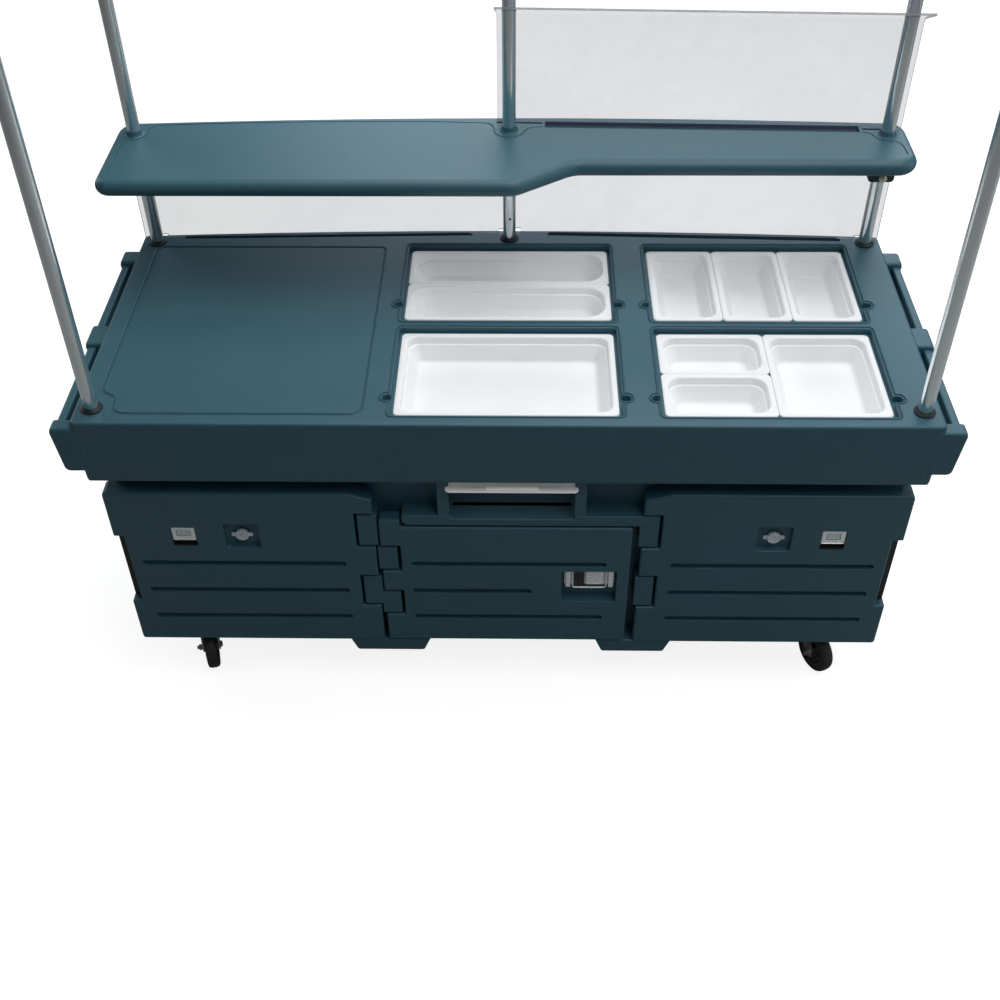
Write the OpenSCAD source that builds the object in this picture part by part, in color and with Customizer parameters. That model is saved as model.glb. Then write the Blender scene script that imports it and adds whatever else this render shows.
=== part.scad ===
// Mobile salad bar: rotomoulded base with three doors, a counter with four
// food wells, five posts, a stepped serving shelf and clear guards.
// Origin: on the floor, in the middle of the footprint. +X to the right as
// the customer sees it, +Y to the back, +Z up. Millimetres.

/* [Counter] */
// Length of the counter without its end handles
deck_w = 2020.8; // [2010:1:2040]
// Depth of the counter, front to back
deck_d = 844.4; // [840:1:850]
// Height of the counter top above the floor
deck_z = 936; // [934:1:940]
// Height of the skirt round the counter
skirt_h = 184; // [180:1:188]
// Wall thickness of the moulded counter
wall = 8; // [6:1:10]
// Depth of each food well below the pan rims
well_h = 144; // [120:1:146]

/* [Pans] */
// Depth of the food pans
pan_h = 65; // [40:1:100]
// Drop of the pan rims below the counter top
rim_drop = 12; // [8:1:16]
// Wall thickness of the pans
pan_t = 3; // [2:0.5:4]

/* [Posts and shelf] */
// Outer radius of the posts
post_r = 17; // [16:0.5:17]
// Height of the post tops above the floor
post_top = 2010; // [1950:1:2060]
// Height of the top of the serving shelf above the floor
shelf_z = 1256; // [1240:1:1270]
// Thickness of the serving shelf
shelf_t = 44; // [38:1:50]
// Thickness of the clear guards
guard_t = 6; // [4:1:6]

/* [Doors] */
// Thickness of the doors
door_t = 50; // [46:1:50]
// Depth of the moulded grooves in the doors
groove_h = 7; // [4:1:8]

/* [Casters] */
// Radius of the wheels
wheel_r = 63.5; // [60:0.5:63.5]
// Distance from the swivel axis back to the wheel
trail = 40; // [36:1:42]
// Rest angle of the front left caster
turn_fl = 14; // [-30:1:30]
// Rest angle of the front right caster
turn_fr = 26; // [-30:1:30]

/* [Hidden] */
$fn = 48;
yo = -24.5;                  // the shelf reaches 49 past the counter's front half depth
hw = deck_w / 2;
hd = deck_d / 2;
skirt_z = deck_z - skirt_h;  // 752
rim_z = deck_z - rim_drop;   // 924
bz = 159;                    // underside of the base
post_x = 967.4;
fpost_y = -365.6;
rpost_y = 363.8;
cpost_y = 387;
// both back edges bow outwards in the middle
function deck_back(x) = hd + 8 - x * x / 34000;
posts = [[-post_x, fpost_y], [post_x, fpost_y], [-post_x, rpost_y], [post_x, rpost_y], [0, cpost_y]];
rear_posts = [[-post_x, rpost_y], [post_x, rpost_y], [0, cpost_y]];
// food wells: opening [x0, y0, x1, y1] in the counter
wells = [[-272, -385, 272, -36], [-272, -6, 272, 350], [364, -6, 907, 350], [364, -385, 907, -36]];
// inside of each tub
tubs = [[-256, -361, 256, -52], [-256, 24, 256, 333], [380, 24, 892, 333], [380, -361, 892, -52]];
front_y = -400;              // front plane of the doors
back_y = front_y + door_t;   // -350
pin_y = front_y + 18;
pin_l = -349;
pin_c = -302;
pin_r = 357;
pin_rad = 4;
caster_x = 842;
fcaster_y = -301;
rcaster_y = 331;
casters = [[-caster_x, fcaster_y, turn_fl], [caster_x, fcaster_y, turn_fr], [-caster_x, rcaster_y, 20], [caster_x, rcaster_y, 8]];

teal = [0.16, 0.30, 0.33];
steel = [0.75, 0.76, 0.77];
white = [0.93, 0.93, 0.92];
dark = [0.07, 0.07, 0.08];

// ---------- helpers ----------
// corner points of a rectangle with round corners
function rr(x0, y0, x1, y1, r, n = 4) = concat(
  [for (i = [0:n]) [x1 - r + r * cos(90 * i / n), y1 - r + r * sin(90 * i / n)]],
  [for (i = [0:n]) [x0 + r + r * cos(90 + 90 * i / n), y1 - r + r * sin(90 + 90 * i / n)]],
  [for (i = [0:n]) [x0 + r + r * cos(180 + 90 * i / n), y0 + r + r * sin(180 + 90 * i / n)]],
  [for (i = [0:n]) [x1 - r + r * cos(270 + 90 * i / n), y0 + r + r * sin(270 + 90 * i / n)]]);

// outline from corner points [x, y, radius]
function corner(a, b, c, r, n) = let (
    u = (a - b) / norm(a - b), v = (c - b) / norm(c - b), g = acos(u * v),
    o = b + (u + v) / norm(u + v) * r / sin(g / 2),
    p = b + u * r / tan(g / 2) - o, q = b + v * r / tan(g / 2) - o,
    a0 = atan2(p[1], p[0]), da = (atan2(q[1], q[0]) - a0 + 540) % 360 - 180)
  [for (i = [0:n]) o + r * [cos(a0 + da * i / n), sin(a0 + da * i / n)]];
function xy(p) = [p[0], p[1]];
function path(p, n = 4) = let (m = len(p))
  [for (i = [0:m - 1]) each p[i][2] > 1000 ? [xy(p[i])] : corner(xy(p[(i + m - 1) % m]), xy(p[i]), xy(p[(i + 1) % m]), p[i][2], n)];

// upright plate between two heights
module slab(x0, y0, x1, y1, z0, z1, r = 0, n = 4) {
  translate([0, 0, z0]) linear_extrude(z1 - z0)
    if (r > 0) polygon(rr(x0, y0, x1, y1, r, n)); else polygon([[x0, y0], [x1, y0], [x1, y1], [x0, y1]]);
}
// plate that faces front, drawn in X and Z, between two values of Y
module face(pts, y0, y1) translate([0, y1, 0]) rotate([90, 0, 0]) linear_extrude(y1 - y0) polygon(pts);
module place() translate([0, yo, 0]) children();
module ycyl(x, z, y0, y1, r) translate([x, y1, z]) rotate([90, 0, 0]) cylinder(r = r, h = y1 - y0);
// horizontal groove with round ends, cut into a door's front
module groove(x0, x1, z, hh = 8.5) face(rr(x0, z - hh, x1, z + hh, hh - 0.2, 5), front_y - 5, front_y + groove_h);

// ---------- base ----------
module lug(x0, x1, z0, z1) slab(x0, front_y + 3, x1, back_y + 8, z0, z1, 3, 2);
module foot(x0, x1, y0, y1) face([[x0, bz + 2], [x0 + 19, bz - 43], [x1 - 19, bz - 43], [x1, bz + 2]], y0, y1);
module base_body() color(teal) difference() {
  union() {
    slab(-978, -346, 978, 396, bz, skirt_z, 22);
    // ledge above the middle door
    face([[-262, 608], [-245, 591], [381, 591], [381, 625], [-262, 625]], front_y + 3, -340);
    // fronts of the tray bay's side walls
    slab(-171, front_y + 5, -141, -340, 600, skirt_z);
    slab(167, front_y + 5, 197, -340, 600, skirt_z);
    // hinge lugs
    lug(-373, -323, 520, 625); lug(-373, -323, 303, 407);
    lug(-328, -277, 434, 514); lug(-328, -277, 269, 351);
    lug(331, 381, 520, 625); lug(331, 381, 303, 410);
    foot(-427, -207, -397, -250); foot(238, 444, -397, -250);
    foot(-427, -207, 250, 390); foot(238, 444, 250, 390);
  }
  // compartments behind the front frame
  slab(-966, -332, -335, 384, 171, 742, 10, 2);
  slab(350, -332, 966, 384, 171, 742, 10, 2);
  difference() {
    slab(-321, -332, 338, 384, 171, 742, 10, 2);
    slab(-171, -340, 197, 142, 599, 750);
  }
  // door openings
  face(rr(-950, 185, -390, 680, 20, 3), -350, -330);
  face(rr(398, 185, 950, 680, 20, 3), -350, -330);
  face(rr(-262, 185, 300, 572, 20, 3), -350, -330);
  // tray bay, its grooves and its lowered sill
  slab(-141, -450, 167, 130, 614, 742);
  slab(-151, -450, 177, 130, 716.7, 724);
  // pin bores
  translate([pin_l, pin_y, 280]) cylinder(r = pin_rad, h = 360);
  translate([pin_c, pin_y, 250]) cylinder(r = pin_rad, h = 280);
  translate([pin_r, pin_y, 280]) cylinder(r = pin_rad, h = 360);
  // shallow moulded panels in the ends and back
  for (z = [290, 400, 510]) {
    face(rr(-900, z - 9, -480, z + 9, 8.5, 4), 390, 400);
    face(rr(-330, z - 9, 330, z + 9, 8.5, 4), 390, 400);
    face(rr(480, z - 9, 900, z + 9, 8.5, 4), 390, 400);
    for (s = [-1, 1]) translate([s * 975, 0, 0]) rotate([0, 0, s * 90]) face(rr(-250, z - 9, 300, z + 9, 8.5, 4), -8, 0);
  }
}
module hinge_pins() color(steel) union() {
  translate([pin_l, pin_y, 282]) cylinder(r = pin_rad, h = 356);
  translate([pin_c, pin_y, 252]) cylinder(r = pin_rad, h = 276);
  translate([pin_r, pin_y, 282]) cylinder(r = pin_rad, h = 356);
}

// ---------- counter ----------
module end_handle(s) {
  // grip rail and three bosses on one end, s = -1 left, 1 right
  for (b = [[-hd, -380], [-84, -2], [292, 350]])
    translate([0, b[1], 0]) rotate([90, 0, 0]) linear_extrude(b[1] - b[0])
      polygon([[s * (hw - 6), 790], [s * 1046, 790], [s * 1063, 902], [s * 1058, 916], [s * (hw - 6), 916]]);
  translate([0, 300, 0]) rotate([90, 0, 0]) linear_extrude(700)
    polygon([[s * 1035, 870], [s * 1053, 870], [s * 1057, 876], [s * 1057, 900], [s * 1053, 906], [s * 1035, 906]]);
}
function notch_y(w) = w[1] < -200 ? 67 : 74;
module outline_groove() difference() {
  linear_extrude(4) polygon([[-961, 330], [-961, -296], [-955, -305], [-930, -316], [-922, -326], [-920, -368], [-908, -382], [-350, -382], [-336, -368], [-336, 326], [-348, 338], [-930, 338], [-938, 330]]);
  translate([0, 0, -1]) linear_extrude(6) polygon([[-957, 326], [-957, -294], [-952, -301], [-927, -312], [-918, -324], [-916, -366], [-906, -378], [-352, -378], [-340, -366], [-340, 324], [-350, 334], [-928, 334], [-935, 326]]);
}
// counter outline, d inside its edge
module deck_plan(d, z0, z1, r) translate([0, 0, z0]) linear_extrude(z1 - z0) polygon(path(concat(
  [[-hw + d, -hd + d, r], [hw - d, -hd + d, r], [hw - d, deck_back(hw) - d, r]],
  [for (x = [840:-210:-840]) [x, deck_back(x) - d, 2000]],
  [[-hw + d, deck_back(hw) - d, r]]), 3));
// along the right (1) or left (-1) lower guard, which follow the bow
module along(s) translate(s > 0 ? [505.5, 398, 0] : [-500, 398.5, 0]) rotate([0, 0, s > 0 ? -2 : 1.5]) children();
module counter_top() color(teal) difference() {
  union() {
    difference() {
      deck_plan(0, skirt_z, deck_z, 10);
      difference() {
        deck_plan(wall, skirt_z + wall, deck_z - wall, 4);
        for (t = tubs) slab(t[0] - 5, t[1] - 5, t[2] + 5, t[3] + 5, rim_z - well_h - 9, deck_z, 20);
        // ledges that carry the pan rims
        for (w = wells) {
          slab(w[0] - 5, w[1] - 5, w[2] + 5, w[3] + 5, rim_z - 9, deck_z);
          for (x = [w[0] - 10, w[2] + 10]) translate([x, w[1] + notch_y(w), rim_z - 9]) cylinder(r = 16, h = 20);
        }
        for (p = posts) translate([p[0], p[1], skirt_z + 1]) cylinder(r = 26, h = skirt_h - 2);
        // webs round the guard grooves
        along(1) slab(-409, -17, 409, 17, deck_z - 24, deck_z);
        along(-1) slab(-407, -15, 407, 15, deck_z - 24, deck_z);
      }
    }
    end_handle(-1); end_handle(1);
  }
  // opening in the floor of the counter
  slab(-420, -300, 930, 345, skirt_z - 1, skirt_z + wall + 1);
  for (w = wells) {
    slab(w[0], w[1], w[2], w[3], rim_z - 4, deck_z + 1, 8, 3);
    // thumb notches
    for (x = [w[0] - 10, w[2] + 10]) translate([x, w[1] + notch_y(w), rim_z - 4]) cylinder(r = 11, h = 20);
  }
  for (t = tubs) slab(t[0], t[1], t[2], t[3], rim_z - well_h, deck_z, 18);
  // post sockets
  for (p = posts) {
    translate([p[0], p[1], 785]) cylinder(r = post_r + 0.1, h = 200);
    translate([p[0], p[1], deck_z - 20]) cylinder(r = 21, h = 30);
  }
  // grooves for the lower guards
  along(-1) slab(-398, -6.5, 398, 6.5, deck_z - 16, deck_z + 1);
  along(1) slab(-400, -8.5, 400, 8.5, deck_z - 16, deck_z + 1);
  translate([0, 0, deck_z - 1.5]) outline_groove();
}

// ---------- posts ----------
module tube_post(p, z1 = post_top) color(steel) translate([p[0], p[1], 786]) difference() {
  cylinder(r = post_r, h = z1 - 786);
  translate([0, 0, -1]) cylinder(r = post_r - 2.5, h = z1 - 784);
  // hole for a locating screw
  if (p[0] == 0) translate([2, 0, 1005 - 786]) rotate([90, 0, 0]) cylinder(r = 3.5, h = 30);
}
module front_left_post() tube_post(posts[0]);
module front_right_post() tube_post(posts[1]);
module rear_left_post() tube_post(posts[2]);
module rear_right_post() tube_post(posts[3]);
module rear_centre_post() tube_post(posts[4]);
module post_grommets() color(dark) for (p = posts) translate([p[0], p[1], 0]) rotate_extrude()
  polygon([[post_r + 0.1, deck_z - 19.5], [20.9, deck_z - 19.5], [20.9, deck_z + 0.02], [25.2, deck_z + 0.02], [25.2, deck_z + 3], [23, deck_z + 6.5], [19.5, deck_z + 8], [post_r + 0.1, deck_z + 8]]);
module top_frame() color(steel) difference() {
  union() {
    for (p = posts) translate([p[0], p[1], post_top - 40]) cylinder(r = 23.5, h = 46);
    for (y = [fpost_y, rpost_y]) translate([-post_x, y, post_top - 17]) rotate([0, 90, 0]) cylinder(r = 14, h = 2 * post_x);
    for (s = [-1, 1]) translate([s * post_x, fpost_y, post_top - 17]) rotate([-90, 0, 0]) cylinder(r = 14, h = rpost_y - fpost_y);
  }
  for (p = posts) translate([p[0], p[1], post_top - 60]) cylinder(r = post_r + 0.1, h = 60.3);
}

// ---------- shelf ----------
bow_r = 15500;  // the shelf's back edge is very slightly bowed
function shelf_back(x) = hd + 49 - pow(x - 30, 2) / (2 * bow_r);
module shelf_plan() polygon(path(concat(
  [[-1020, 110, 36], [20, 110, 60], [166, 215, 60], [1024, 215, 52], [1024, shelf_back(1010), 46]],
  [for (x = [800:-200:-800]) [x, shelf_back(x), 2000]],
  [[-1020, shelf_back(-1010), 50]])));
// along the upper guard
module guard_line() translate([497, 410.7, 0]) rotate([0, 0, -2.25]) children();
module serving_shelf() color(teal) difference() {
  union() {
    translate([0, 0, shelf_z - shelf_t]) linear_extrude(shelf_t) shelf_plan();
    for (p = rear_posts) translate([p[0], p[1], shelf_z - 1]) cylinder(r1 = 23, r2 = 18, h = 15);
  }
  for (p = rear_posts) translate([p[0], p[1], shelf_z - 60]) cylinder(r = post_r + 0.15, h = 120);
  // channel that holds the upper guard
  guard_line() slab(-531, -3.1, 514, 3.1, shelf_z - 12, shelf_z + 1);
  translate([497, 406.7, 0]) rotate([0, 0, -1.75]) slab(-404, -16.5, 404, 16.5, shelf_z - 12, shelf_z + 1);
}
module shelf_collars() color(dark) for (p = rear_posts) difference() {
  translate([p[0], 0, shelf_z - shelf_t]) face([[-34, -62], [-32, -70], [-28, -75], [-24, -76], [24, -76], [28, -75], [32, -70], [34, -62], [35, -20], [35, 0], [-35, 0], [-35, -20]], p[1] - 30, p[1] + 19);
  translate([p[0], p[1], 1000]) cylinder(r = post_r + 0.1, h = 300);
  ycyl(p[0] + 2, shelf_z - shelf_t - 62, p[1] - 40, p[1] - 12, 4);
}
module collar_knobs() color([0.80, 0.82, 0.76]) for (p = rear_posts) union() {
  ycyl(p[0] + 2, shelf_z - shelf_t - 62, p[1] - 30, p[1] - 17.3, 4);
  translate([p[0] + 2, p[1] - 30, shelf_z - shelf_t - 62]) rotate([90, 0, 0])
    rotate_extrude() polygon([[0, 0], [9, 0], [10.5, 3], [10.5, 10], [8, 13], [0, 14]]);
}

// ---------- clear guards ----------
module lower_guard(s, x0, x1, y0) color([0.8, 0.85, 0.88, 0.4]) difference() {
  along(s) translate([s > 0 ? -505.5 : 500, 0, 0])
    face([[s * 30, deck_z + 0.2], [s * x0, deck_z + 0.2], [s * x0, deck_z - 13], [s * x1, deck_z - 13], [s * x1, deck_z + 0.2],
      [s * 1006, deck_z + 0.2], [s * 1006, shelf_z - shelf_t - 0.3], [s * 5, shelf_z - shelf_t - 0.3], [s * 5, deck_z + 12], [s * 30, deck_z + 12]], y0, y0 + guard_t);
  // room for the end post's grommet
  translate([s * post_x, rpost_y, deck_z - 5]) cylinder(r = 26.5, h = 15);
}
module lower_left_guard() lower_guard(-1, 104, 896, 0.2);
module lower_right_guard() lower_guard(1, 109, 902, 2.2);
module upper_guard() color([0.8, 0.85, 0.88, 0.4]) difference() {
  guard_line() translate([-529, 0, 0]) rotate([90, 0, 90]) linear_extrude(1039)
    polygon([[-3, shelf_z - 11.8], [3, shelf_z - 11.8], [3, 1549], [0, 1551.7], [-95.9, 1597.9], [-98.3, 1593], [-3, 1546.5]]);
  for (p = [posts[3], posts[4]]) translate([p[0], p[1], 1545]) cylinder(r = post_r + 1.5, h = 80);
}

// ---------- doors ----------
module side_door(s, xo, xp, zt, lugs, latch_x, lock_x, g0, g1) color(teal) difference() {
  union() {
    // slab up to the pin, then a round hinge edge
    face([[xo, 161], [xp, 161], [xp, zt - 18], [xp + s * 45, zt], [xo, zt]], front_y, back_y);
    translate([xp, pin_y, 161]) cylinder(r = 18, h = zt - 24 - 161);
  }
  // notches round the hinge lugs
  for (z = lugs) face([[xp + s * 30, z[0]], [xp - s * 30, z[0]], [xp - s * 30, z[1]], [xp + s * 30, z[1]]], front_y - 5, back_y + 5);
  translate([xp, pin_y, 270]) cylinder(r = pin_rad + 0.05, h = 390);
  // hand recess in the outer edge
  face([[xo - s * 26, 309], [xo + s * 9, 309], [xo + s * 9, 549], [xo - s * 26, 549]], front_y - 5, back_y - 8);
  for (z = [[456, 0], [356, 1], [256, 2]]) groove(g0, g1, z[0]);
  // latch pocket and lock pocket
  face(rr(latch_x - 30, 520, latch_x + 30, 582, 3, 2), front_y - 5, front_y + 14);
  face(rr(lock_x - 43, 511, lock_x + 43, 593, 9, 3), front_y - 5, front_y + 16);
  ycyl(lock_x, 552, front_y, front_y + 26, 6.05);
  // hollow core below the latches
  slab(xo + (xo < 0 ? 40 : -(xo - xp) + 45), front_y + 13, xo < 0 ? xp - 45 : xo - 40, back_y - 6, 172, 500);
}
module left_door() side_door(-1, -992, pin_l, 698, [[298, 412], [515, 630]], -812, -666, -936, -411);
module right_door() side_door(1, 992, pin_r, 700, [[298, 415], [515, 630]], 816, 669, 417, 935);
module centre_door() color(teal) difference() {
  union() {
    slab(pin_c, front_y, 316, back_y, 165, 586);
    slab(pin_c, front_y, -267, back_y, 165, 586);
    slab(pin_c, front_y, -267, front_y + 34, 586, 611);
    translate([pin_c, pin_y, 165]) cylinder(r = 18, h = 446);
  }
  for (z = [[264, 356], [429, 519]]) face([[pin_c + 32, z[0]], [pin_c - 30, z[0]], [pin_c - 30, z[1]], [pin_c + 32, z[1]]], front_y - 5, back_y + 5);
  translate([pin_c, pin_y, 240]) cylinder(r = pin_rad + 0.05, h = 300);
  groove(-244, 255, 457); groove(-245, 65, 357); groove(-245, 253, 258);
  // latch pocket
  face(rr(142, 320, 284, 432, 4, 2), front_y - 5, front_y + 26);
  // hollow core
  slab(-255, front_y + 13, 120, back_y - 6, 176, 560);
}

// slam latch: plate with a window, a cup behind it and a paddle in the window
module latch_plate(x) color(steel) difference() {
  face(rr(x - 29.5, 537, x + 29.5, 581.5, 2.5, 2), front_y + 1, front_y + 13.9);
  face(rr(x - 18, 551, x + 18, 574, 1.5, 2), front_y, front_y + 12.4);
  translate([x - 21.2, front_y + 3.4, 571]) rotate([0, 90, 0]) cylinder(r = 1.85, h = 42.4);
}
// the paddle turns about a bar at the top of the window
module latch_paddle(x) color([0.62, 0.66, 0.70]) union() {
  face(rr(x - 17, 552, x + 17, 571, 1.2, 2), front_y + 2.2, front_y + 4.6);
  translate([x - 20.8, front_y + 3.4, 571]) rotate([0, 90, 0]) cylinder(r = 1.8, h = 41.6);
}
// quarter-turn lock: a disc with two wings on a spindle
module lock_knob(x) color([0.70, 0.73, 0.76]) union() {
  ycyl(x, 552, front_y + 4, front_y + 13.5, 17);
  ycyl(x, 552, front_y + 13, front_y + 25, 6);
  face(rr(x - 27, 546, x + 27, 558, 3, 2), front_y + 7, front_y + 12);
}
module left_latch_plate() latch_plate(-812);
module right_latch_plate() latch_plate(816);
module left_latch_paddle() latch_paddle(-812);
module right_latch_paddle() latch_paddle(816);
module left_lock_knob() lock_knob(-666);
module right_lock_knob() lock_knob(669);

// middle door's latch: a dished plate with a side flange at each end
module draw_latch_housing() color(steel) difference() {
  union() {
    face(rr(149, 368, 279, 431.5, 2, 2), front_y + 20, front_y + 25.9);
    face([[151, 369], [168, 369], [168, 431], [151, 431]], front_y + 6, front_y + 21);
    face([[260, 369], [277, 369], [277, 431], [260, 431]], front_y + 6, front_y + 21);
  }
  translate([150, front_y + 9.5, 424]) rotate([0, 90, 0]) cylinder(r = 1.55, h = 128);
  translate([259, front_y + 16.5, 425]) rotate([0, 90, 0]) cylinder(r = 2.65, h = 6);
  ycyl(187, 400, front_y + 19, front_y + 24.5, 12.05);
}
module lock_case() color(dark) difference() {
  face(rr(173.6, 370, 201, 431, 2, 2), front_y + 10.5, front_y + 20);
  ycyl(187, 400, front_y + 9, front_y + 24, 12.05);
  translate([196, front_y + 16.5, 425]) rotate([0, 90, 0]) cylinder(r = 2.65, h = 6);
}
module draw_latch_lever() color(steel) union() {
  face(rr(205, 373, 253, 428, 3, 2), front_y + 12, front_y + 15);
  translate([196.5, front_y + 16.5, 425]) rotate([0, 90, 0]) cylinder(r = 2.6, h = 68);
}
// wire loop, hung from both flanges
module draw_latch_bail() color(steel) translate([0, front_y + 9.5, 0]) union() {
  translate([171, 0, 365.4]) rotate([0, 90, 0]) cylinder(r = 2, h = 86);
  for (x = [171, 257]) translate([x, 0, 363]) cylinder(r = 2.2, h = 63);
  translate([158, 0, 424]) rotate([0, 90, 0]) cylinder(r = 1.5, h = 14);
  translate([256, 0, 424]) rotate([0, 90, 0]) cylinder(r = 1.5, h = 14);
}
module key_cylinder() color(dark) difference() {
  union() {
    ycyl(187, 400, front_y + 10.2, front_y + 24.3, 12);
    ycyl(187, 400, front_y + 9, front_y + 10.3, 9);
  }
  face([[186.2, 395], [187.8, 395], [187.8, 405], [186.2, 405]], front_y + 8, front_y + 12);
}

// ---------- tray and pans ----------
// open pan: round-cornered rim, then a tub inset from it
module pan(x0, y0, x1, y1, rz, h, inset, rc, t = pan_t) difference() {
  union() {
    slab(x0, y0, x1, y1, rz - 4, rz, 11, 3);
    slab(x0 + inset, y0 + inset, x1 - inset, y1 - inset, rz - h, rz - 2, rc, 4);
  }
  slab(x0 + inset + t, y0 + inset + t, x1 - inset - t, y1 - inset - t, rz - h + t, rz + 1, rc - t, 4);
}
module pull_out_tray() color(white) union() {
  pan(-149, -412, 175, 110, 721, 28, 14, 24);
  // grip on the front rim
  slab(-51, -411, 77, -400, 720, 730, 3, 2);
}
module full_pan() color(white) pan(-265, -369.4, 265, -44.4, rim_z, pan_h, 12, 34);
module long_pan_front() color(white) pan(-265, 16.2, 265, 178.4, rim_z, pan_h, 12, 60);
module long_pan_back() color(white) pan(-265, 179, 265, 341.2, rim_z, pan_h, 12, 60);
module third_pan_left() color(white) pan(370.9, 16.2, 547.2, 341.2, rim_z, pan_h, 12, 34);
module third_pan_middle() color(white) pan(547.8, 16.2, 724, 341.2, rim_z, pan_h, 12, 34);
module third_pan_right() color(white) pan(724.6, 16.2, 900.9, 341.2, rim_z, pan_h, 12, 34);
module quarter_pan_front() color(white) pan(370.9, -369.4, 635.6, -207.2, rim_z, pan_h, 12, 44);
module quarter_pan_back() color(white) pan(370.9, -206.6, 635.6, -44.4, rim_z, pan_h, 12, 44);
module half_pan() color(white) pan(636.2, -369.4, 900.9, -44.4, rim_z, pan_h, 12, 34);

// ---------- casters ----------
module caster_plates() color(steel) for (c = casters) translate([c[0], c[1], 0]) difference() {
  union() {
    slab(-50, -42, 50, 42, bz - 5, bz, 8, 3);
    translate([0, 0, bz - 13]) cylinder(r = 29, h = 9);
  }
  translate([0, 0, bz - 14]) cylinder(r = 6.05, h = 12);
  for (x = [-38, 38], y = [-30, 30]) translate([x, y, bz - 6]) cylinder(r = 4.2, h = 7);
}
module caster_bolts() color(steel) for (c = casters, x = [-38, 38], y = [-30, 30]) translate([c[0] + x, c[1] + y, 0]) union() {
  translate([0, 0, bz - 10]) cylinder(r = 7, h = 5, $fn = 6);
  translate([0, 0, bz - 6]) cylinder(r = 4.1, h = 6);
}
module at_caster(i) translate([casters[i][0], casters[i][1], 0]) rotate([0, 0, casters[i][2]]) children();
module fork(i) color(steel) at_caster(i) difference() {
  union() {
    translate([0, 0, bz - 22]) cylinder(r = 27, h = 8.7);
    translate([0, 0, bz - 15]) cylinder(r = 6, h = 12);
    for (s = [-1, 1]) translate([s * 22.5 - 1.75, 0, 0]) rotate([90, 0, 90]) linear_extrude(3.5)
      polygon([[-24, bz - 17], [22, bz - 17], [20, bz - 32], [-trail + 14, 56], [-trail + 8, 50], [-trail - 8, 50], [-trail - 14, 56], [-trail - 12, 78]]);
    slab(-24, -24, 24, 22, bz - 22, bz - 18, 4, 2);
    // boss for a brake pivot
    if (i > 1) translate([-30, 16, 124]) rotate([0, 90, 0]) cylinder(r = 5, h = 60);
  }
  translate([-40, -trail, wheel_r]) rotate([0, 90, 0]) cylinder(r = 5.02, h = 80);
}
module axle(i) color(steel) at_caster(i) translate([0, -trail, wheel_r]) rotate([0, 90, 0]) union() {
  translate([0, 0, -39]) cylinder(r = 5, h = 70);
  translate([0, 0, 24.25]) cylinder(r = 9, h = 6, $fn = 6);
  translate([0, 0, -34]) cylinder(r = 8.5, h = 9.75, $fn = 6);
}
module hub(i) color([0.20, 0.21, 0.22]) at_caster(i) translate([0, -trail, wheel_r]) rotate([0, 90, 0]) rotate_extrude()
  polygon([[5.06, -19.5], [13, -19.5], [14, -12], [20, -7], [36, -7], [38, -14.5], [45, -14.5], [45, 14.5], [38, 14.5], [36, 7], [20, 7], [14, 12], [13, 19.5], [5.06, 19.5]]);
module tyre(i) color(dark) at_caster(i) translate([0, -trail, wheel_r]) rotate([0, 90, 0]) rotate_extrude()
  polygon([[45.02, -14.8], [52, -16], [57, -16], [60.8, -14.2], [62.8, -9.5], [wheel_r, -4], [wheel_r, 4], [62.8, 9.5], [60.8, 14.2], [57, 16], [52, 16], [45.02, 14.8]]);
// brake pedal: turns on the fork's cross pin; its shoe swings in towards the tread
brake_side = [[8, 118], [19, 100], [27, 100], [30, 113], [62, 105], [66, 111], [26, 131], [10, 131]];
module brake_pedal(i) color([0.75, 0.12, 0.10]) at_caster(i) rotate([90, 0, 90]) difference() {
  union() {
    for (z = [-29.5, 25.5]) translate([0, 0, z]) linear_extrude(4) polygon(brake_side);
    translate([0, 0, -29.5]) linear_extrude(59) polygon([[46, 109.2], [62, 105.1], [66, 111], [48, 120]]);
    translate([0, 0, -29.5]) linear_extrude(59) polygon([[19, 100], [27, 100], [28, 105], [20, 105]]);
  }
  translate([16, 124, -40]) cylinder(r = 5.06, h = 80);
}

// ---------- the assembly ----------
place() base_body();
place() counter_top();
place() front_left_post();
place() front_right_post();
place() rear_left_post();
place() rear_right_post();
place() rear_centre_post();
place() post_grommets();
place() serving_shelf();
place() shelf_collars();
place() collar_knobs();
place() lower_left_guard();
place() lower_right_guard();
place() upper_guard();
place() top_frame();
place() hinge_pins();
place() caster_plates();
place() caster_bolts();
place() left_door();
place() left_latch_plate();
place() left_latch_paddle();
place() left_lock_knob();
place() right_door();
place() right_latch_plate();
place() right_latch_paddle();
place() right_lock_knob();
place() centre_door();
place() draw_latch_housing();
place() lock_case();
place() draw_latch_lever();
place() draw_latch_bail();
place() key_cylinder();
place() pull_out_tray();
place() full_pan();
place() long_pan_back();
place() long_pan_front();
place() third_pan_left();
place() third_pan_middle();
place() third_pan_right();
place() quarter_pan_back();
place() quarter_pan_front();
place() half_pan();
place() fork(0);  // front_left_fork
place() axle(0);  // front_left_axle
place() hub(0);  // front_left_hub
place() tyre(0);  // front_left_tyre
place() fork(1);  // front_right_fork
place() axle(1);  // front_right_axle
place() hub(1);  // front_right_hub
place() tyre(1);  // front_right_tyre
place() fork(2);  // rear_left_fork
place() axle(2);  // rear_left_axle
place() hub(2);  // rear_left_hub
place() tyre(2);  // rear_left_tyre
place() fork(3);  // rear_right_fork
place() axle(3);  // rear_right_axle
place() hub(3);  // rear_right_hub
place() tyre(3);  // rear_right_tyre
place() brake_pedal(2);  // rear_left_brake_pedal
place() brake_pedal(3);  // rear_right_brake_pedal
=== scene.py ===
import bpy
import bmesh
import math
from mathutils import Matrix, Vector
from mathutils.geometry import delaunay_2d_cdt


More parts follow.
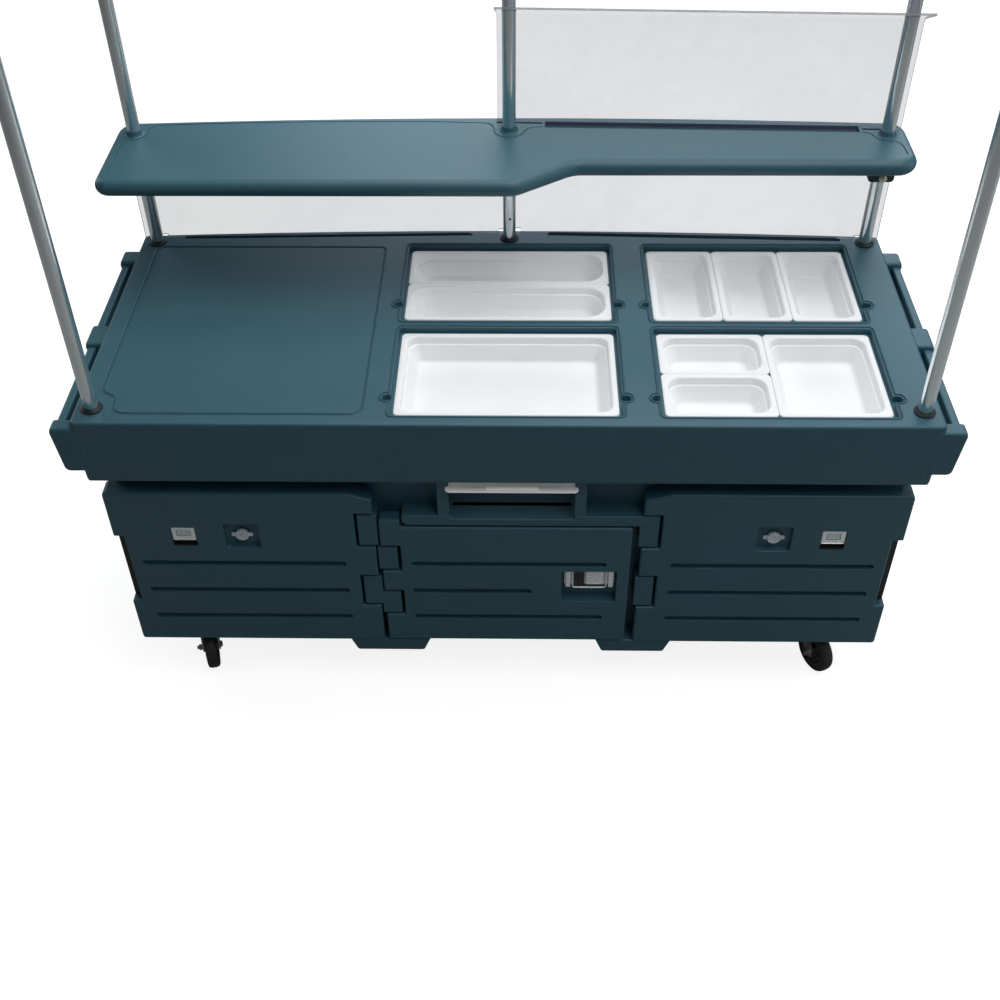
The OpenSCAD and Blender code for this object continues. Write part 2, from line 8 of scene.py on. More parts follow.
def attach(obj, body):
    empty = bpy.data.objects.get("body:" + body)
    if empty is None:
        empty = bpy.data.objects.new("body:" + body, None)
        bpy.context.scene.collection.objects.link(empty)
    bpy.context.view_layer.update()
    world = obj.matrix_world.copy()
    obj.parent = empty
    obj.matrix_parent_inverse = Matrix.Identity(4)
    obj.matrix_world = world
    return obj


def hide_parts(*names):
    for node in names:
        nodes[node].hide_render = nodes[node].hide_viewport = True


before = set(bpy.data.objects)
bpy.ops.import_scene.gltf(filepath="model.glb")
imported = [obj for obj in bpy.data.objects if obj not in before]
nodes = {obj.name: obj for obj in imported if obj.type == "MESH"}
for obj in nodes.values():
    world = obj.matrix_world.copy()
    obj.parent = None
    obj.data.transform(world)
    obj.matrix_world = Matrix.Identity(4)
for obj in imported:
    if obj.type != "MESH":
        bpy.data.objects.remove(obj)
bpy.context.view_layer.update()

# Lengths below are millimetres from the middle of the counter; the row frame sits 24.5 mm further back.
YO = -24.5
DECK = 936.0
HW = 1010.4
HD = 422.2


# ---------------------------------------------------------------- outlines
def _sub(a, b):
    return (a[0] - b[0], a[1] - b[1])


def _unit(a):
    l = math.hypot(a[0], a[1])
    return (a[0] / l, a[1] / l)


def path(corners, n=5):
    """Closed outline from corners (x, y, r). r < 0 keeps a plain point."""
    out = []
    m = len(corners)
    for i in range(m):
        x, y, r = corners[i]
        if r < 0:
            out.append((x, y))
            continue
        a = corners[i - 1]
        c = corners[(i + 1) % m]
        u = _unit(_sub(a, (x, y)))
        v = _unit(_sub(c, (x, y)))
        dot = max(-0.99999, min(0.99999, u[0] * v[0] + u[1] * v[1]))
        half = math.acos(dot) / 2
        w = _unit((u[0] + v[0], u[1] + v[1]))
        d = r / math.sin(half)
        ox, oy = x + w[0] * d, y + w[1] * d
        t = r / math.tan(half)
        p = (x + u[0] * t - ox, y + u[1] * t - oy)
        q = (x + v[0] * t - ox, y + v[1] * t - oy)
        a0 = math.atan2(p[1], p[0])
        da = (math.atan2(q[1], q[0]) - a0 + 3 * math.pi) % (2 * math.pi) - math.pi
        for k in range(n + 1):
            g = a0 + da * k / n
            out.append((ox + r * math.cos(g), oy + r * math.sin(g)))
    return out


def grow(corners, d):
    """The corners of the outline moved out by d (counter-clockwise), radii adjusted."""
    m = len(corners)
    out = []
    for i in range(m):
        x, y, r = corners[i]
        a = corners[i - 1]
        c = corners[(i + 1) % m]
        e1 = _unit((x - a[0], y - a[1]))
        e2 = _unit((c[0] - x, c[1] - y))
        n1 = (e1[1], -e1[0])
        n2 = (e2[1], -e2[0])
        k = d / (1 + n1[0] * n2[0] + n1[1] * n2[1])
        nx, ny = x + (n1[0] + n2[0]) * k, y + (n1[1] + n2[1]) * k
        cr = e1[0] * e2[1] - e1[1] * e2[0]
        if r >= 0:
            r = max(0.3, r + d if cr > 0 else r - d)
        out.append((nx, ny, r))
    return out


def rect(x0, y0, x1, y1, r):
    return [(x0, y0, r), (x1, y0, r), (x1, y1, r), (x0, y1, r)]


def flip_x(corners):
    return [(-c[0],) + tuple(c[1:]) for c in reversed(corners)]


def inside(p, poly):
    x, y = p
    hit = False
    j = len(poly) - 1
    for i in range(len(poly)):
        xi, yi = poly[i]
        xj, yj = poly[j]
        if (yi > y) != (yj > y) and x < (xj - xi) * (y - yi) / (yj - yi) + xi:
            hit = not hit
        j = i
    return hit


def lip(r, w, k=3):
    """Rounded edge of a top at height w, from the top in to the side out."""
    return [(-r + r * math.sin(math.pi / 2 * i / k), w - r + r * math.cos(math.pi / 2 * i / k)) for i in range(k + 1)]


def mouth(r, w, k=3):
    """Rounded edge of an opening in a top at height w, from the wall to the top."""
    return [(r - r * math.cos(math.pi / 2 * i / k), w - r + r * math.sin(math.pi / 2 * i / k)) for i in range(k + 1)]


def cove(r, w, k=3):
    """Rounded inner corner between a pocket's floor at height w and its wall."""
    return [(-r + r * math.sin(math.pi / 2 * i / k), w + r - r * math.cos(math.pi / 2 * i / k)) for i in range(k + 1)]


# ---------------------------------------------------------------- meshes
def TOP(u, v, w):
    return (u, v, w)


def FRONT(u, v, w):
    return (u, -w, v)


def SIDE(u, v, w):
    return (w, u, v)


class Solid:
    def __init__(self, T=TOP):
        self.T = T
        self.v = []
        self.uv = []
        self.f = []
        self.m = []

    def ring(self, pts, w):
        i0 = len(self.v)
        for x, y in pts:
            self.uv.append((x, y))
            self.v.append(self.T(x, y, w))
        return list(range(i0, i0 + len(pts)))

    def bridge(self, a, b, m=0):
        n = len(a)
        for i in range(n):
            j = (i + 1) % n
            self.f.append((a[i], b[i], b[j], a[j]))
            self.m.append(m)

    def stack(self, rings, m=0):
        for a, b in zip(rings, rings[1:]):
            self.bridge(a, b, m)

    def prof(self, corners, prof, n=5, m=0):
        rings = [self.ring(path(grow(corners, d), n), w) for d, w in prof]
        self.stack(rings, m)
        return rings

    def fill(self, outer, holes=(), m=0):
        idx = list(outer)
        for h in holes:
            idx += list(h)
        pts = [Vector(self.uv[i]) for i in idx]
        edges = []
        s = 0
        for loop in [outer] + list(holes):
            n = len(loop)
            edges += [(s + k, s + (k + 1) % n) for k in range(n)]
            s += n
        vs, _, fs, ov, _, _ = delaunay_2d_cdt(pts, edges, [], 1, 1e-5)
        back = {}
        w = self.v[outer[0]]
        for k, o in enumerate(ov):
            if o:
                back[k] = idx[o[0]]
            else:
                raise RuntimeError("outlines cross near %s" % (tuple(vs[k]),))
        polys = [[self.uv[i] for i in h] for h in holes]
        for f in fs:
            c = (sum(vs[k][0] for k in f) / len(f), sum(vs[k][1] for k in f) / len(f))
            if any(inside(c, p) for p in polys):
                continue
            self.f.append(tuple(back[k] for k in f))
            self.m.append(m)

    def prism(self, corners, w0, w1, r=2.0, n=4, k=3, m=0, r0=None):
        """Closed block between two heights with rounded rims."""
        r0 = r if r0 is None else r0
        up = lip(r, w1, k) if r > 0 else [(0, w1)]
        dn = [(d, 2 * w0 + r0 - (w - 0) + (0 - r0)) for d, w in reversed(lip(r0, w0, k))] if r0 > 0 else [(0, w0)]
        dn = [(d, w) for d, w in dn]
        rings = self.prof(corners, up + dn, n, m)
        self.fill(rings[0], m=m)
        self.fill(rings[-1], m=m)
        return rings

    def lathe(self, profile, centre=(0, 0), w=0.0, n=48, m=0, close=True):
        """Revolve (radius, height) points about the local w axis."""
        rings = []
        for r, h in profile:
            rings.append(self.ring([(centre[0] + max(r, 0.01) * math.cos(2 * math.pi * i / n), centre[1] + max(r, 0.01) * math.sin(2 * math.pi * i / n)) for i in range(n)], w + h))
        self.stack(rings, m)
        if close:
            self.bridge(rings[-1], rings[0], m)
        return rings


def obj_from(name, solids, mats, body, replaces=(), smooth=35.0, weld=0.02, matrix=None):
    me = bpy.data.meshes.new(name)
    v = []
    f = []
    mi = []
    for s in solids if isinstance(solids, (list, tuple)) else [solids]:
        o = len(v)
        v += s.v
        f += [tuple(o + i for i in q) for q in s.f]
        mi += s.m
    me.from_pydata([(x * 0.001, (y + YO) * 0.001, z * 0.001) for x, y, z in v], [], f)
    for mat in mats:
        me.materials.append(mat)
    me.polygons.foreach_set("material_index", mi)
    bm = bmesh.new()
    bm.from_mesh(me)
    bmesh.ops.remove_doubles(bm, verts=bm.verts, dist=weld * 0.001)
    bmesh.ops.dissolve_degenerate(bm, edges=bm.edges, dist=1e-6)
    loose = [x for x in bm.verts if not x.link_faces]
    bmesh.ops.delete(bm, geom=loose, context="VERTS")
    bmesh.ops.recalc_face_normals(bm, faces=bm.faces)
    bm.to_mesh(me)
    bm.free()
    ob = bpy.data.objects.new(name, me)
    bpy.context.scene.collection.objects.link(ob)
    if matrix is not None:
        me.transform(matrix)
    finish_mesh(ob, smooth)
    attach(ob, body)
    if replaces:
        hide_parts(*replaces)
    return ob


def finish_mesh(ob, smooth=35.0):
    me = ob.data
    me.polygons.foreach_set("use_smooth", [True] * len(me.polygons))
    me.set_sharp_from_angle(angle=math.radians(smooth))
    wn = ob.modifiers.new("normals", "WEIGHTED_NORMAL")
    wn.keep_sharp = True
    wn.weight = 80


def cut(ob, solids):
    """Take closed blocks out of an object, exactly."""
    me = bpy.data.meshes.new("cutter")
    v = []
    f = []
    for s in solids:
        o = len(v)
        v += s.v
        f += [tuple(o + i for i in q) for q in s.f]
    me.from_pydata([(x * 0.001, (y + YO) * 0.001, z * 0.001) for x, y, z in v], [], f)
    bm = bmesh.new()
    bm.from_mesh(me)
    bmesh.ops.remove_doubles(bm, verts=bm.verts, dist=2e-5)
    bmesh.ops.recalc_face_normals(bm, faces=bm.faces)
    bm.to_mesh(me)
    bm.free()
    c = bpy.data.objects.new("cutter", me)
    bpy.context.scene.collection.objects.link(c)
    for mod in list(ob.modifiers):
        ob.modifiers.remove(mod)
    b = ob.modifiers.new("cut", "BOOLEAN")
    b.operation = "DIFFERENCE"
    b.solver = "EXACT"
    b.use_self = True
    b.object = c
    dg = bpy.context.evaluated_depsgraph_get()
    new = bpy.data.meshes.new_from_object(ob.evaluated_get(dg))
    ob.modifiers.remove(b)
    old = ob.data
    ob.data = new
    bpy.data.meshes.remove(old)
    bpy.data.objects.remove(c)
    bpy.data.meshes.remove(me)
    finish_mesh(ob)


# ---------------------------------------------------------------- materials
def principled(name):
    mat = bpy.data.materials.new(name)
    mat.use_nodes = True
    nt = mat.node_tree
    bs = nt.nodes["Principled BSDF"]
    return mat, nt, bs


def tex_noise(nt, scale, detail=4.0, rough=0.5, coords=None, stretch=None):
    tc = nt.nodes.new("ShaderNodeTexCoord")
    out = tc.outputs["Object"]
    if stretch:
        mp = nt.nodes.new("ShaderNodeMapping")
        mp.inputs["Scale"].default_value = stretch
        nt.links.new(out, mp.inputs["Vector"])
        out = mp.outputs["Vector"]
    n = nt.nodes.new("ShaderNodeTexNoise")
    n.inputs["Scale"].default_value = scale
    n.inputs["Detail"].default_value = detail
    n.inputs["Roughness"].default_value = rough
    nt.links.new(out, n.inputs["Vector"])
    return n.outputs["Fac"]


def ramp(nt, fac, c0, c1, p0=0.3, p1=0.7):
    r = nt.nodes.new("ShaderNodeValToRGB")
    r.color_ramp.elements[0].position = p0
    r.color_ramp.elements[0].color = tuple(c0) + (1,)
    r.color_ramp.elements[1].position = p1
    r.color_ramp.elements[1].color = tuple(c1) + (1,)
    nt.links.new(fac, r.inputs["Fac"])
    return r.outputs["Color"]


def remap(nt, fac, a, b, lo=0.3, hi=0.7):
    m = nt.nodes.new("ShaderNodeMapRange")
    m.inputs["From Min"].default_value = lo
    m.inputs["From Max"].default_value = hi
    m.inputs["To Min"].default_value = a
    m.inputs["To Max"].default_value = b
    nt.links.new(fac, m.inputs["Value"])
    return m.outputs["Result"]


def mixf(nt, a, b, fac):
    m = nt.nodes.new("ShaderNodeMix")
    m.data_type = "FLOAT"
    m.inputs[0].default_value = fac
    nt.links.new(a, m.inputs[2])
    nt.links.new(b, m.inputs[3])
    return m.outputs[0]


def bump(nt, bs, height, strength, distance, chain=None):
    b = nt.nodes.new("ShaderNodeBump")
    b.inputs["Strength"].default_value = strength
    b.inputs["Distance"].default_value = distance
    nt.links.new(height, b.inputs["Height"])
    if chain is not None:
        nt.links.new(chain, b.inputs["Normal"])
    nt.links.new(b.outputs["Normal"], bs.inputs["Normal"])
    return b.outputs["Normal"]


def moulded(name, c0, c1, rough=(0.36, 0.46), grain=900.0, grain_bump=0.25, wave=0.12, spec=0.5):
    """Rotomoulded plastic: fine pebble grain, slow waviness, faint scuffs."""
    mat, nt, bs = principled(name)
    big = tex_noise(nt, 3.2, 3.0, 0.55)
    fine = tex_noise(nt, grain, 2.0, 0.6)
    mid = tex_noise(nt, 60.0, 4.0, 0.6)
    nt.links.new(ramp(nt, mixf(nt, big, mid, 0.35), c0, c1), bs.inputs["Base Color"])
    nt.links.new(remap(nt, mixf(nt, mid, big, 0.4), rough[0], rough[1]), bs.inputs["Roughness"])
    bs.inputs["Specular IOR Level"].default_value = spec
    n1 = bump(nt, bs, big, wave, 0.004)
    bump(nt, bs, fine, grain_bump, 0.0004, n1)
    return mat


def metal(name, c0, c1, rough=(0.22, 0.34), stretch=(60, 60, 1.5), scale=14.0, metallic=1.0, bump_s=0.05):
    mat, nt, bs = principled(name)
    bs.inputs["Metallic"].default_value = metallic
    brush = tex_noise(nt, scale, 6.0, 0.65, stretch=stretch)
    cloud = tex_noise(nt, 9.0, 3.0, 0.5)
    nt.links.new(ramp(nt, mixf(nt, brush, cloud, 0.4), c0, c1), bs.inputs["Base Color"])
    nt.links.new(remap(nt, brush, rough[0], rough[1]), bs.inputs["Roughness"])
    bump(nt, bs, brush, bump_s, 0.0003)
    return mat


TEAL = moulded("teal_plastic", (0.0245, 0.086, 0.117), (0.0300, 0.100, 0.136), rough=(0.40, 0.50), spec=0.44)
BLACK = moulded("black_rubber", (0.005, 0.007, 0.009), (0.008, 0.010, 0.013), rough=(0.42, 0.55), grain=1200, grain_bump=0.12, wave=0.03)
# painted shade: a black material laid where the doors have only deep shade, in the latch pockets and in the recess at
# each outer edge
SHADE_BLACK = moulded("painted_shade_black", (0.007, 0.008, 0.009), (0.011, 0.012, 0.013), rough=(0.5, 0.6), grain=1000, grain_bump=0.15, wave=0.03)
COLLAR = moulded("collar_plastic", (0.012, 0.020, 0.022), (0.018, 0.028, 0.030), rough=(0.40, 0.5), grain=1100, grain_bump=0.2, wave=0.05)
KNOB = moulded("knob_plastic", (0.52, 0.58, 0.44), (0.60, 0.66, 0.52), rough=(0.35, 0.45), grain=1500, grain_bump=0.1, wave=0.02)
ALU = metal("satin_aluminium", (0.72, 0.77, 0.78), (0.82, 0.86, 0.87), rough=(0.17, 0.23), stretch=(1, 1, 0.22), scale=420.0, bump_s=0.03)
ZINC = metal("zinc_plate", (0.36, 0.37, 0.37), (0.50, 0.50, 0.49), rough=(0.30, 0.45), stretch=(8, 8, 8), scale=25)
STAIN = metal("latch_steel", (0.78, 0.81, 0.83), (0.92, 0.94, 0.95), rough=(0.22, 0.34), stretch=(4, 40, 80), scale=16, metallic=0.55)
PADDLE = metal("paddle_metal", (0.48, 0.56, 0.61), (0.58, 0.66, 0.71), rough=(0.24, 0.32), stretch=(30, 30, 4), scale=20, metallic=0.35)
TYRE = moulded("tyre_rubber", (0.010, 0.010, 0.011), (0.018, 0.018, 0.019), rough=(0.45, 0.6), grain=700, grain_bump=0.25, wave=0.05)
HUB = moulded("hub_plastic", (0.030, 0.033, 0.035), (0.045, 0.048, 0.05), rough=(0.38, 0.5), grain=900, grain_bump=0.15, wave=0.04)
PEDAL = metal("pedal_steel", (0.05, 0.05, 0.055), (0.09, 0.09, 0.095), rough=(0.35, 0.5), stretch=(8, 8, 8), scale=20, metallic=0.5)
LOCKBLACK = moulded("lock_black", (0.010, 0.010, 0.011), (0.014, 0.014, 0.015), rough=(0.18, 0.3), grain=1500, grain_bump=0.05, wave=0.02)

# white pans: soft translucent plastic with a faint painted glow
PAN, nt, bs = principled("pan_plastic")
fine = tex_noise(nt, 500.0, 3.0, 0.6)
big = tex_noise(nt, 7.0, 3.0, 0.5)
nt.links.new(ramp(nt, mixf(nt, big, fine, 0.3), (0.73, 0.73, 0.74), (0.77, 0.77, 0.78)), bs.inputs["Base Color"])
nt.links.new(remap(nt, big, 0.30, 0.40), bs.inputs["Roughness"])
bs.inputs["Subsurface Weight"].default_value = 0.5
bs.inputs["Subsurface Radius"].default_value = (0.01, 0.01, 0.01)
bs.inputs["Subsurface Scale"].default_value = 0.5
# painted light: a faint white glow keeps the pans and the tray bright in the shade under the deck and shelf
bs.inputs["Emission Color"].default_value = (1, 1, 1, 1)
bs.inputs["Emission Strength"].default_value = 0.10
n1 = bump(nt, bs, big, 0.06, 0.002)
bump(nt, bs, fine, 0.12, 0.0003, n1)

# clear guards: polished sheet with a grey tint and faint dust
GUARD, nt, bs = principled("clear_guard")
dust = tex_noise(nt, 25.0, 6.0, 0.65)
cloud = tex_noise(nt, 4.0, 3.0, 0.5)
nt.links.new(ramp(nt, cloud, (0.15, 0.105, 0.18), (0.19, 0.135, 0.22)), bs.inputs["Base Color"])
nt.links.new(remap(nt, dust, 0.06, 0.16), bs.inputs["Roughness"])
nt.links.new(remap(nt, mixf(nt, dust, cloud, 0.5), 0.215, 0.245), bs.inputs["Alpha"])
bs.inputs["IOR"].default_value = 1.49
EDGE, nt, bs = principled("guard_edge")
d2 = tex_noise(nt, 40.0, 4.0, 0.6)
nt.links.new(ramp(nt, d2, (0.20, 0.22, 0.24), (0.34, 0.36, 0.38)), bs.inputs["Base Color"])
nt.links.new(remap(nt, d2, 0.15, 0.35), bs.inputs["Roughness"])
bs.inputs["Alpha"].default_value = 0.75

# ---------------------------------------------------------------- counter
WELLS = [(-272, -385, 272, -36), (-272, -6, 272, 350), (364, -6, 907, 350), (364, -385, 907, -36)]
TUBS = [(-256, -361, 256, -52), (-256, 24, 256, 333), (380, 24, 892, 333), (380, -361, 892, -52)]


def well_outline(w, grow_lobe=0.0):
    """Opening with a thumb notch in each side."""
    x0, y0, x1, y1 = w
    yn = y0 + (67 if y0 < -200 else 74)
    g = 11.0
    return [(x0, y0, 8), (x1, y0, 8),
            (x1, yn - g, 5), (x1 + 21, yn - g, 10.6), (x1 + 21, yn + g, 10.6), (x1, yn + g, 5),
            (x1, y1, 8), (x0, y1, 8),
            (x0, yn + g, 5), (x0 - 21, yn + g, 10.6), (x0 - 21, yn - g, 10.6), (x0, yn - g, 5)]


def engrave(S, pts, w, width=3.0, depth=1.2, m=0):
    """Shallow groove along an open line of points; returns its outer ring."""
    def side(h):
        L = []
        R = []
        n = len(pts)
        for i, p in enumerate(pts):
            a = pts[max(0, i - 1)]
            b = pts[min(n - 1, i + 1)]
            t = _unit(_sub(b, a))
            L.append((p[0] - t[1] * h, p[1] + t[0] * h))
            R.append((p[0] + t[1] * h, p[1] - t[0] * h))
        return R + L[::-1]
    floor = S.ring(side(width * 0.18), w - depth)
    top = S.ring(side(width * 0.5), w)
    S.bridge(floor, top, m)
    k = len(pts)
    for i in range(k - 1):
        S.f.append((floor[i], floor[i + 1], floor[2 * k - 2 - i], floor[2 * k - 1 - i]))
        S.m.append(m)
    return top


C = Solid(TOP)


def deck_back(x):
    return HD + 8 - x * x / 34000.0


def turned(x0, y0, x1, y1, r, cx, cy, deg):
    """Rectangle about (cx, cy), turned by deg."""
    c, s = math.cos(math.radians(deg)), math.sin(math.radians(deg))
    return [(cx + x * c - y * s, cy + x * s + y * c, r) for x, y in ((x0, y0), (x1, y0), (x1, y1), (x0, y1))]


outer = [(-HW, -HD, 13), (HW, -HD, 13), (HW, deck_back(HW), 13)] + [(x, deck_back(x), -1) for x in range(840, -841, -210)] + [(-HW, deck_back(HW), 13)]
side_prof = lip(7.5, DECK, 4) + [(-0.8, 880), (-2.6, 790), (-3.6, 762), (-5.2, 755), (-9, 752)]
deck_rings = C.prof(outer, side_prof, 6)
C.fill(deck_rings[-1])
holes = []
for w, t in zip(WELLS, TUBS):
    tub = rect(*t, 18)
    tr = C.prof(tub, [(-14, 780)] + [(-10 + 10 * math.sin(a), 790 - 10 * math.cos(a)) for a in (0.52, 1.05, 1.57)] + mouth(3, 920, 3), 6)
    C.fill(tr[0])
    wr = C.prof(well_outline(w), [(0, 920)] + mouth(3, DECK, 3), 5)
    C.fill(wr[0], [tr[-1]])
    C_in = C.prof(grow(well_outline(w), 3.4), [(0, DECK), (0.4, DECK - 1.5), (1.3, DECK - 1.5), (1.8, DECK + 0.2), (2.5, DECK + 1.9), (3.4, DECK + 2.6), (4.3, DECK + 2.6), (5.1, DECK + 1.7), (5.8, DECK), (6.4, DECK - 0.3), (7.4, DECK - 0.3), (8.2, DECK)], 5)
    C.fill(C_in[0], [wr[-1]])
    holes.append(C_in[-1])
for g in ((-398, -6.5, 398, 5.5, 3, -500, 398.5, 1.5), (-400, -8.5, 400, 6.8, 3, 505.5, 398, -2)):
    gr = C.prof(turned(*g), cove(2, DECK - 15.5, 2) + mouth(1.4, DECK, 2), 3)
    C.fill(gr[0])
    holes.append(gr[-1])
work = [(-960, -301, 32), (-921, -321, 30), (-919, -382, 30), (-336, -382, 28), (-336, 338, 14), (-960, 338, 22)]
wo = C.prof(work, [(-2.4, DECK), (-1.7, DECK - 2.4), (0.1, DECK - 2.4), (0.9, DECK), (1.6, DECK + 1.4), (2.6, DECK + 2.0), (3.5, DECK + 1.6), (4.6, DECK)], 6)
C.fill(wo[0])
holes.append(wo[-1])
C.fill(deck_rings[0], holes)


def end_handle(S, s):
    fr = flip_x if s < 0 else (lambda c: c)
    boss = fr([(HW - 24, 787, 2), (1050, 787, 15), (1063, 903, 12), (1059.5, 917, 9), (HW - 24, 917, 2)])
    F = Solid(FRONT)
    F.prism(boss, 380, 421.6, 8, 5, 4)
    F.prism(boss, 2, 84, 8, 5, 4)
    F.prism(boss, -350, -292, 8, 5, 4)
    rail = fr([(1035, 870, 4), (1053, 870, 5), (1057.5, 877, 5), (1057.5, 899, 6), (1053, 906, 6), (1035, 906, 5)])
    F.prism(rail, -300, 400, 0.5, 3, 1)
    return F


counter = obj_from("counter_shell", [C, end_handle(C, -1), end_handle(C, 1)], [TEAL], "carcass", ["counter_top"])

# ---------------------------------------------------------------- base
B = Solid(FRONT)
front = B.prof(rect(-978, 159, 978, 752, 12), lip(8, 346, 4), 4)
back = B.prof(rect(-978, 159, 978, 752, 12), [(0, -380), (-4, -389.5), (-14, -396)], 4)
B.bridge(front[-1], back[0])
hs = []
for (o, c) in (((-950, 185, -390, 680), (-966, 171, -335, 742)), ((398, 185, 950, 680), (350, 171, 966, 742)), ((-262, 185, 300, 572), (-321, 171, 338, 599))):
    op = B.prof(rect(*o, 20), [(0, 332)] + mouth(4, 346, 2), 5)
    inn = B.prof(rect(*c, 8), [(0, -384), (0, 332)], 2)
    B.fill(inn[0])
    B.fill(inn[1], [op[0]])
    hs.append(op[-1])
bay = [(-141, 614, 4), (167, 614, 4), (167, 716.7, -1), (177, 716.7, -1), (177, 724, -1), (167, 724, -1), (167, 742, -1), (-141, 742, -1), (-141, 724, -1), (-151, 724, -1), (-151, 716.7, -1), (-141, 716.7, -1)]
by = B.prof(bay, [(0, -130), (0, 346)], 3)
B.fill(by[0])
hs.append(by[-1])
B.fill(front[0], hs)
bh = []
for z in (290, 400, 510):
    for (x0, x1) in ((-900, -480), (-330, 330), (480, 900)):
        g = B.prof(rect(x0, z - 8.5, x1, z + 8.5, 8.3), [(-2.5, -390), (0, -392.5), (0.8, -395.2), (1.8, -396)], 4)
        B.fill(g[0])
        bh.append(g[-1])
B.fill(back[-1], bh)
E = Solid(SIDE)
for q in (-1, 1):
    flat = [i for i, fc in enumerate(B.f) if all(abs(B.v[k][0] - q * 978) < 0.01 for k in fc) and max(B.v[k][2] for k in fc) - min(B.v[k][2] for k in fc) > 300 and max(B.v[k][1] for k in fc) - min(B.v[k][1] for k in fc) > 600]
    ys = [B.v[k][1] for k in B.f[flat[0]]]
    zs = [B.v[k][2] for k in B.f[flat[0]]]
    for i in reversed(flat):
        del B.f[i]
        del B.m[i]
    edge = E.ring([(min(ys), min(zs)), (max(ys), min(zs)), (max(ys), max(zs)), (min(ys), max(zs))], q * 978)
    eh = []
    for z in (290, 400, 510):
        g = E.prof(rect(-250, z - 9, 300, z + 9, 8.8), [(-1.6, q * 975.2), (-0.5, q * 975.7), (0, q * 976.6), (1.0, q * 977.8), (1.6, q * 978)], 4)
        E.fill(g[0])
        eh.append(g[-1])
    E.fill(edge, eh)

# ribs, sill, hinge lugs and feet
L = Solid(TOP)
for (x0, x1, z0, z1) in ((-373, -323, 520, 625), (-373, -323, 303, 407), (-328, -277, 434, 514), (-328, -277, 269, 351), (331, 381, 520, 593), (331, 381, 303, 410)):
    L.prism(rect(x0, -397, x1, -342, 4), z0, z1, 3.5, 3, 3)
for (x0, x1) in ((-171, -141), (167, 197)):
    L.prism(rect(x0, -395, x1, -340, 4), 606, 751.5, 3, 3, 2)
S2 = Solid(FRONT)
sill = [(-262, 603, 9), (-250, 591, 9), (381, 591, 4), (381, 625, 4), (172, 625, 5), (164, 614, 5), (-138, 614, 5), (-146, 625, 5), (-262, 625, 6)]
S2.prism(sill, 330, 397, 4, 4, 3)
for (x0, x1) in ((-427, -207), (238, 444)):
    foot = [(x0 + 19, 116, 9), (x1 - 19, 116, 9), (x1, 163, 4), (x0, 163, 4)]
    S2.prism(foot, 250, 397, 6, 4, 3)
    S2.prism(foot, -390, -250, 6, 4, 3)
base = obj_from("base_shell", [B, E, L, S2], [TEAL], "carcass", ["base_body"])

# ---------------------------------------------------------------- serving shelf
SZ = 1256.0
ST = 44.0


def shelf_back(x):
    return HD + 49 - (x - 30) ** 2 / 31000.0


plan = [(-1020, 110, 36), (20, 110, 60), (166, 215, 60), (1024, 215, 52), (1024, shelf_back(1010), 46)]
plan += [(x, shelf_back(x), -1) for x in range(800, -1000, -200)]
plan += [(-1020, shelf_back(-1010), 50)]
S = Solid(TOP)
R = ST / 2
prof = [(-R, SZ)] + [(-R + R * math.sin(a * math.pi / 12), SZ - R + R * math.cos(a * math.pi / 12)) for a in range(1, 12)] + [(-R, SZ - ST)]
sr = S.prof(plan, prof, 7)
S.fill(sr[-1])
sh = []
for g in ((-404, -16.5, 404, 16.5, 2.5, 497, 406.7, -1.75), (-531, -3.6, -411, 3.6, 1.5, 497, 410.7, -2.25), (411, -3.6, 494, 3.6, 1.5, 497, 410.7, -2.25)):
    pk = S.prof(turned(*g), cove(1, SZ - 11.5, 1) + mouth(1.2, SZ, 2), 2)
    S.fill(pk[0])
    sh.append(pk[-1])


def arc(cx, cy, r, a0, a1, n=14):
    return [(cx + r * math.cos(math.radians(a0 + (a1 - a0) * i / n)), cy + r * math.sin(math.radians(a0 + (a1 - a0) * i / n))) for i in range(n + 1)]


left_line = [(-990, 150), (-990, 220), (-990, 280), (-989, 300), (-985, 314), (-978, 323), (-970, 327), (-960, 331), (-950.6, 337.2), (-943, 344.5), (-939, 352), (-937, 362), (-936.5, 374), (-935.6, 386), (-933, 396), (-928.6, 404), (-920, 411), (-906, 414)]
left_line += [(-878, 415.5), (-804, 421.5), (-711, 426), (-628, 429.4), (-500, 433), (-400, 434.6), (-300, 435), (-181, 433.6), (-137, 431.2), (-94, 428.8), (-72, 427.6), (-59, 425.6), (-50, 421), (-44, 413), (-41, 402), (-39.4, 392)]
left_line += arc(0, 387.1, 39.4, 180, 338, 14) + [(40, 384), (45, 392), (51, 398.5), (60, 402.6), (71, 405.4), (88, 406.4)]
right_line = [(905, 378), (914, 376.4), (922, 372.5), (928, 366), (932, 357), (936, 347.5), (942, 338.5), (951, 332), (960, 328.6), (972, 327.2), (984, 325.4), (991, 318), (995, 304), (996.6, 280), (996.6, 260)]
sh.append(engrave(S, left_line, SZ, 4.4, 2.6))
sh.append(engrave(S, right_line, SZ, 4.4, 2.6))
S.fill(sr[0], sh)
boss = [(16.9, -3), (26, -3), (26.0, 0.1), (24.0, 0.5), (22.6, 1.6), (21.4, 4), (20.2, 8), (19.2, 12), (18.3, 14), (16.9, 14)]
for px, py in ((-967.4, 363.8), (967.4, 363.8), (0, 387.1)):
    S.lathe(boss, (px, py), SZ, 40)
shelf = obj_from("shelf_moulding", S, [TEAL], "carcass", ["serving_shelf"])

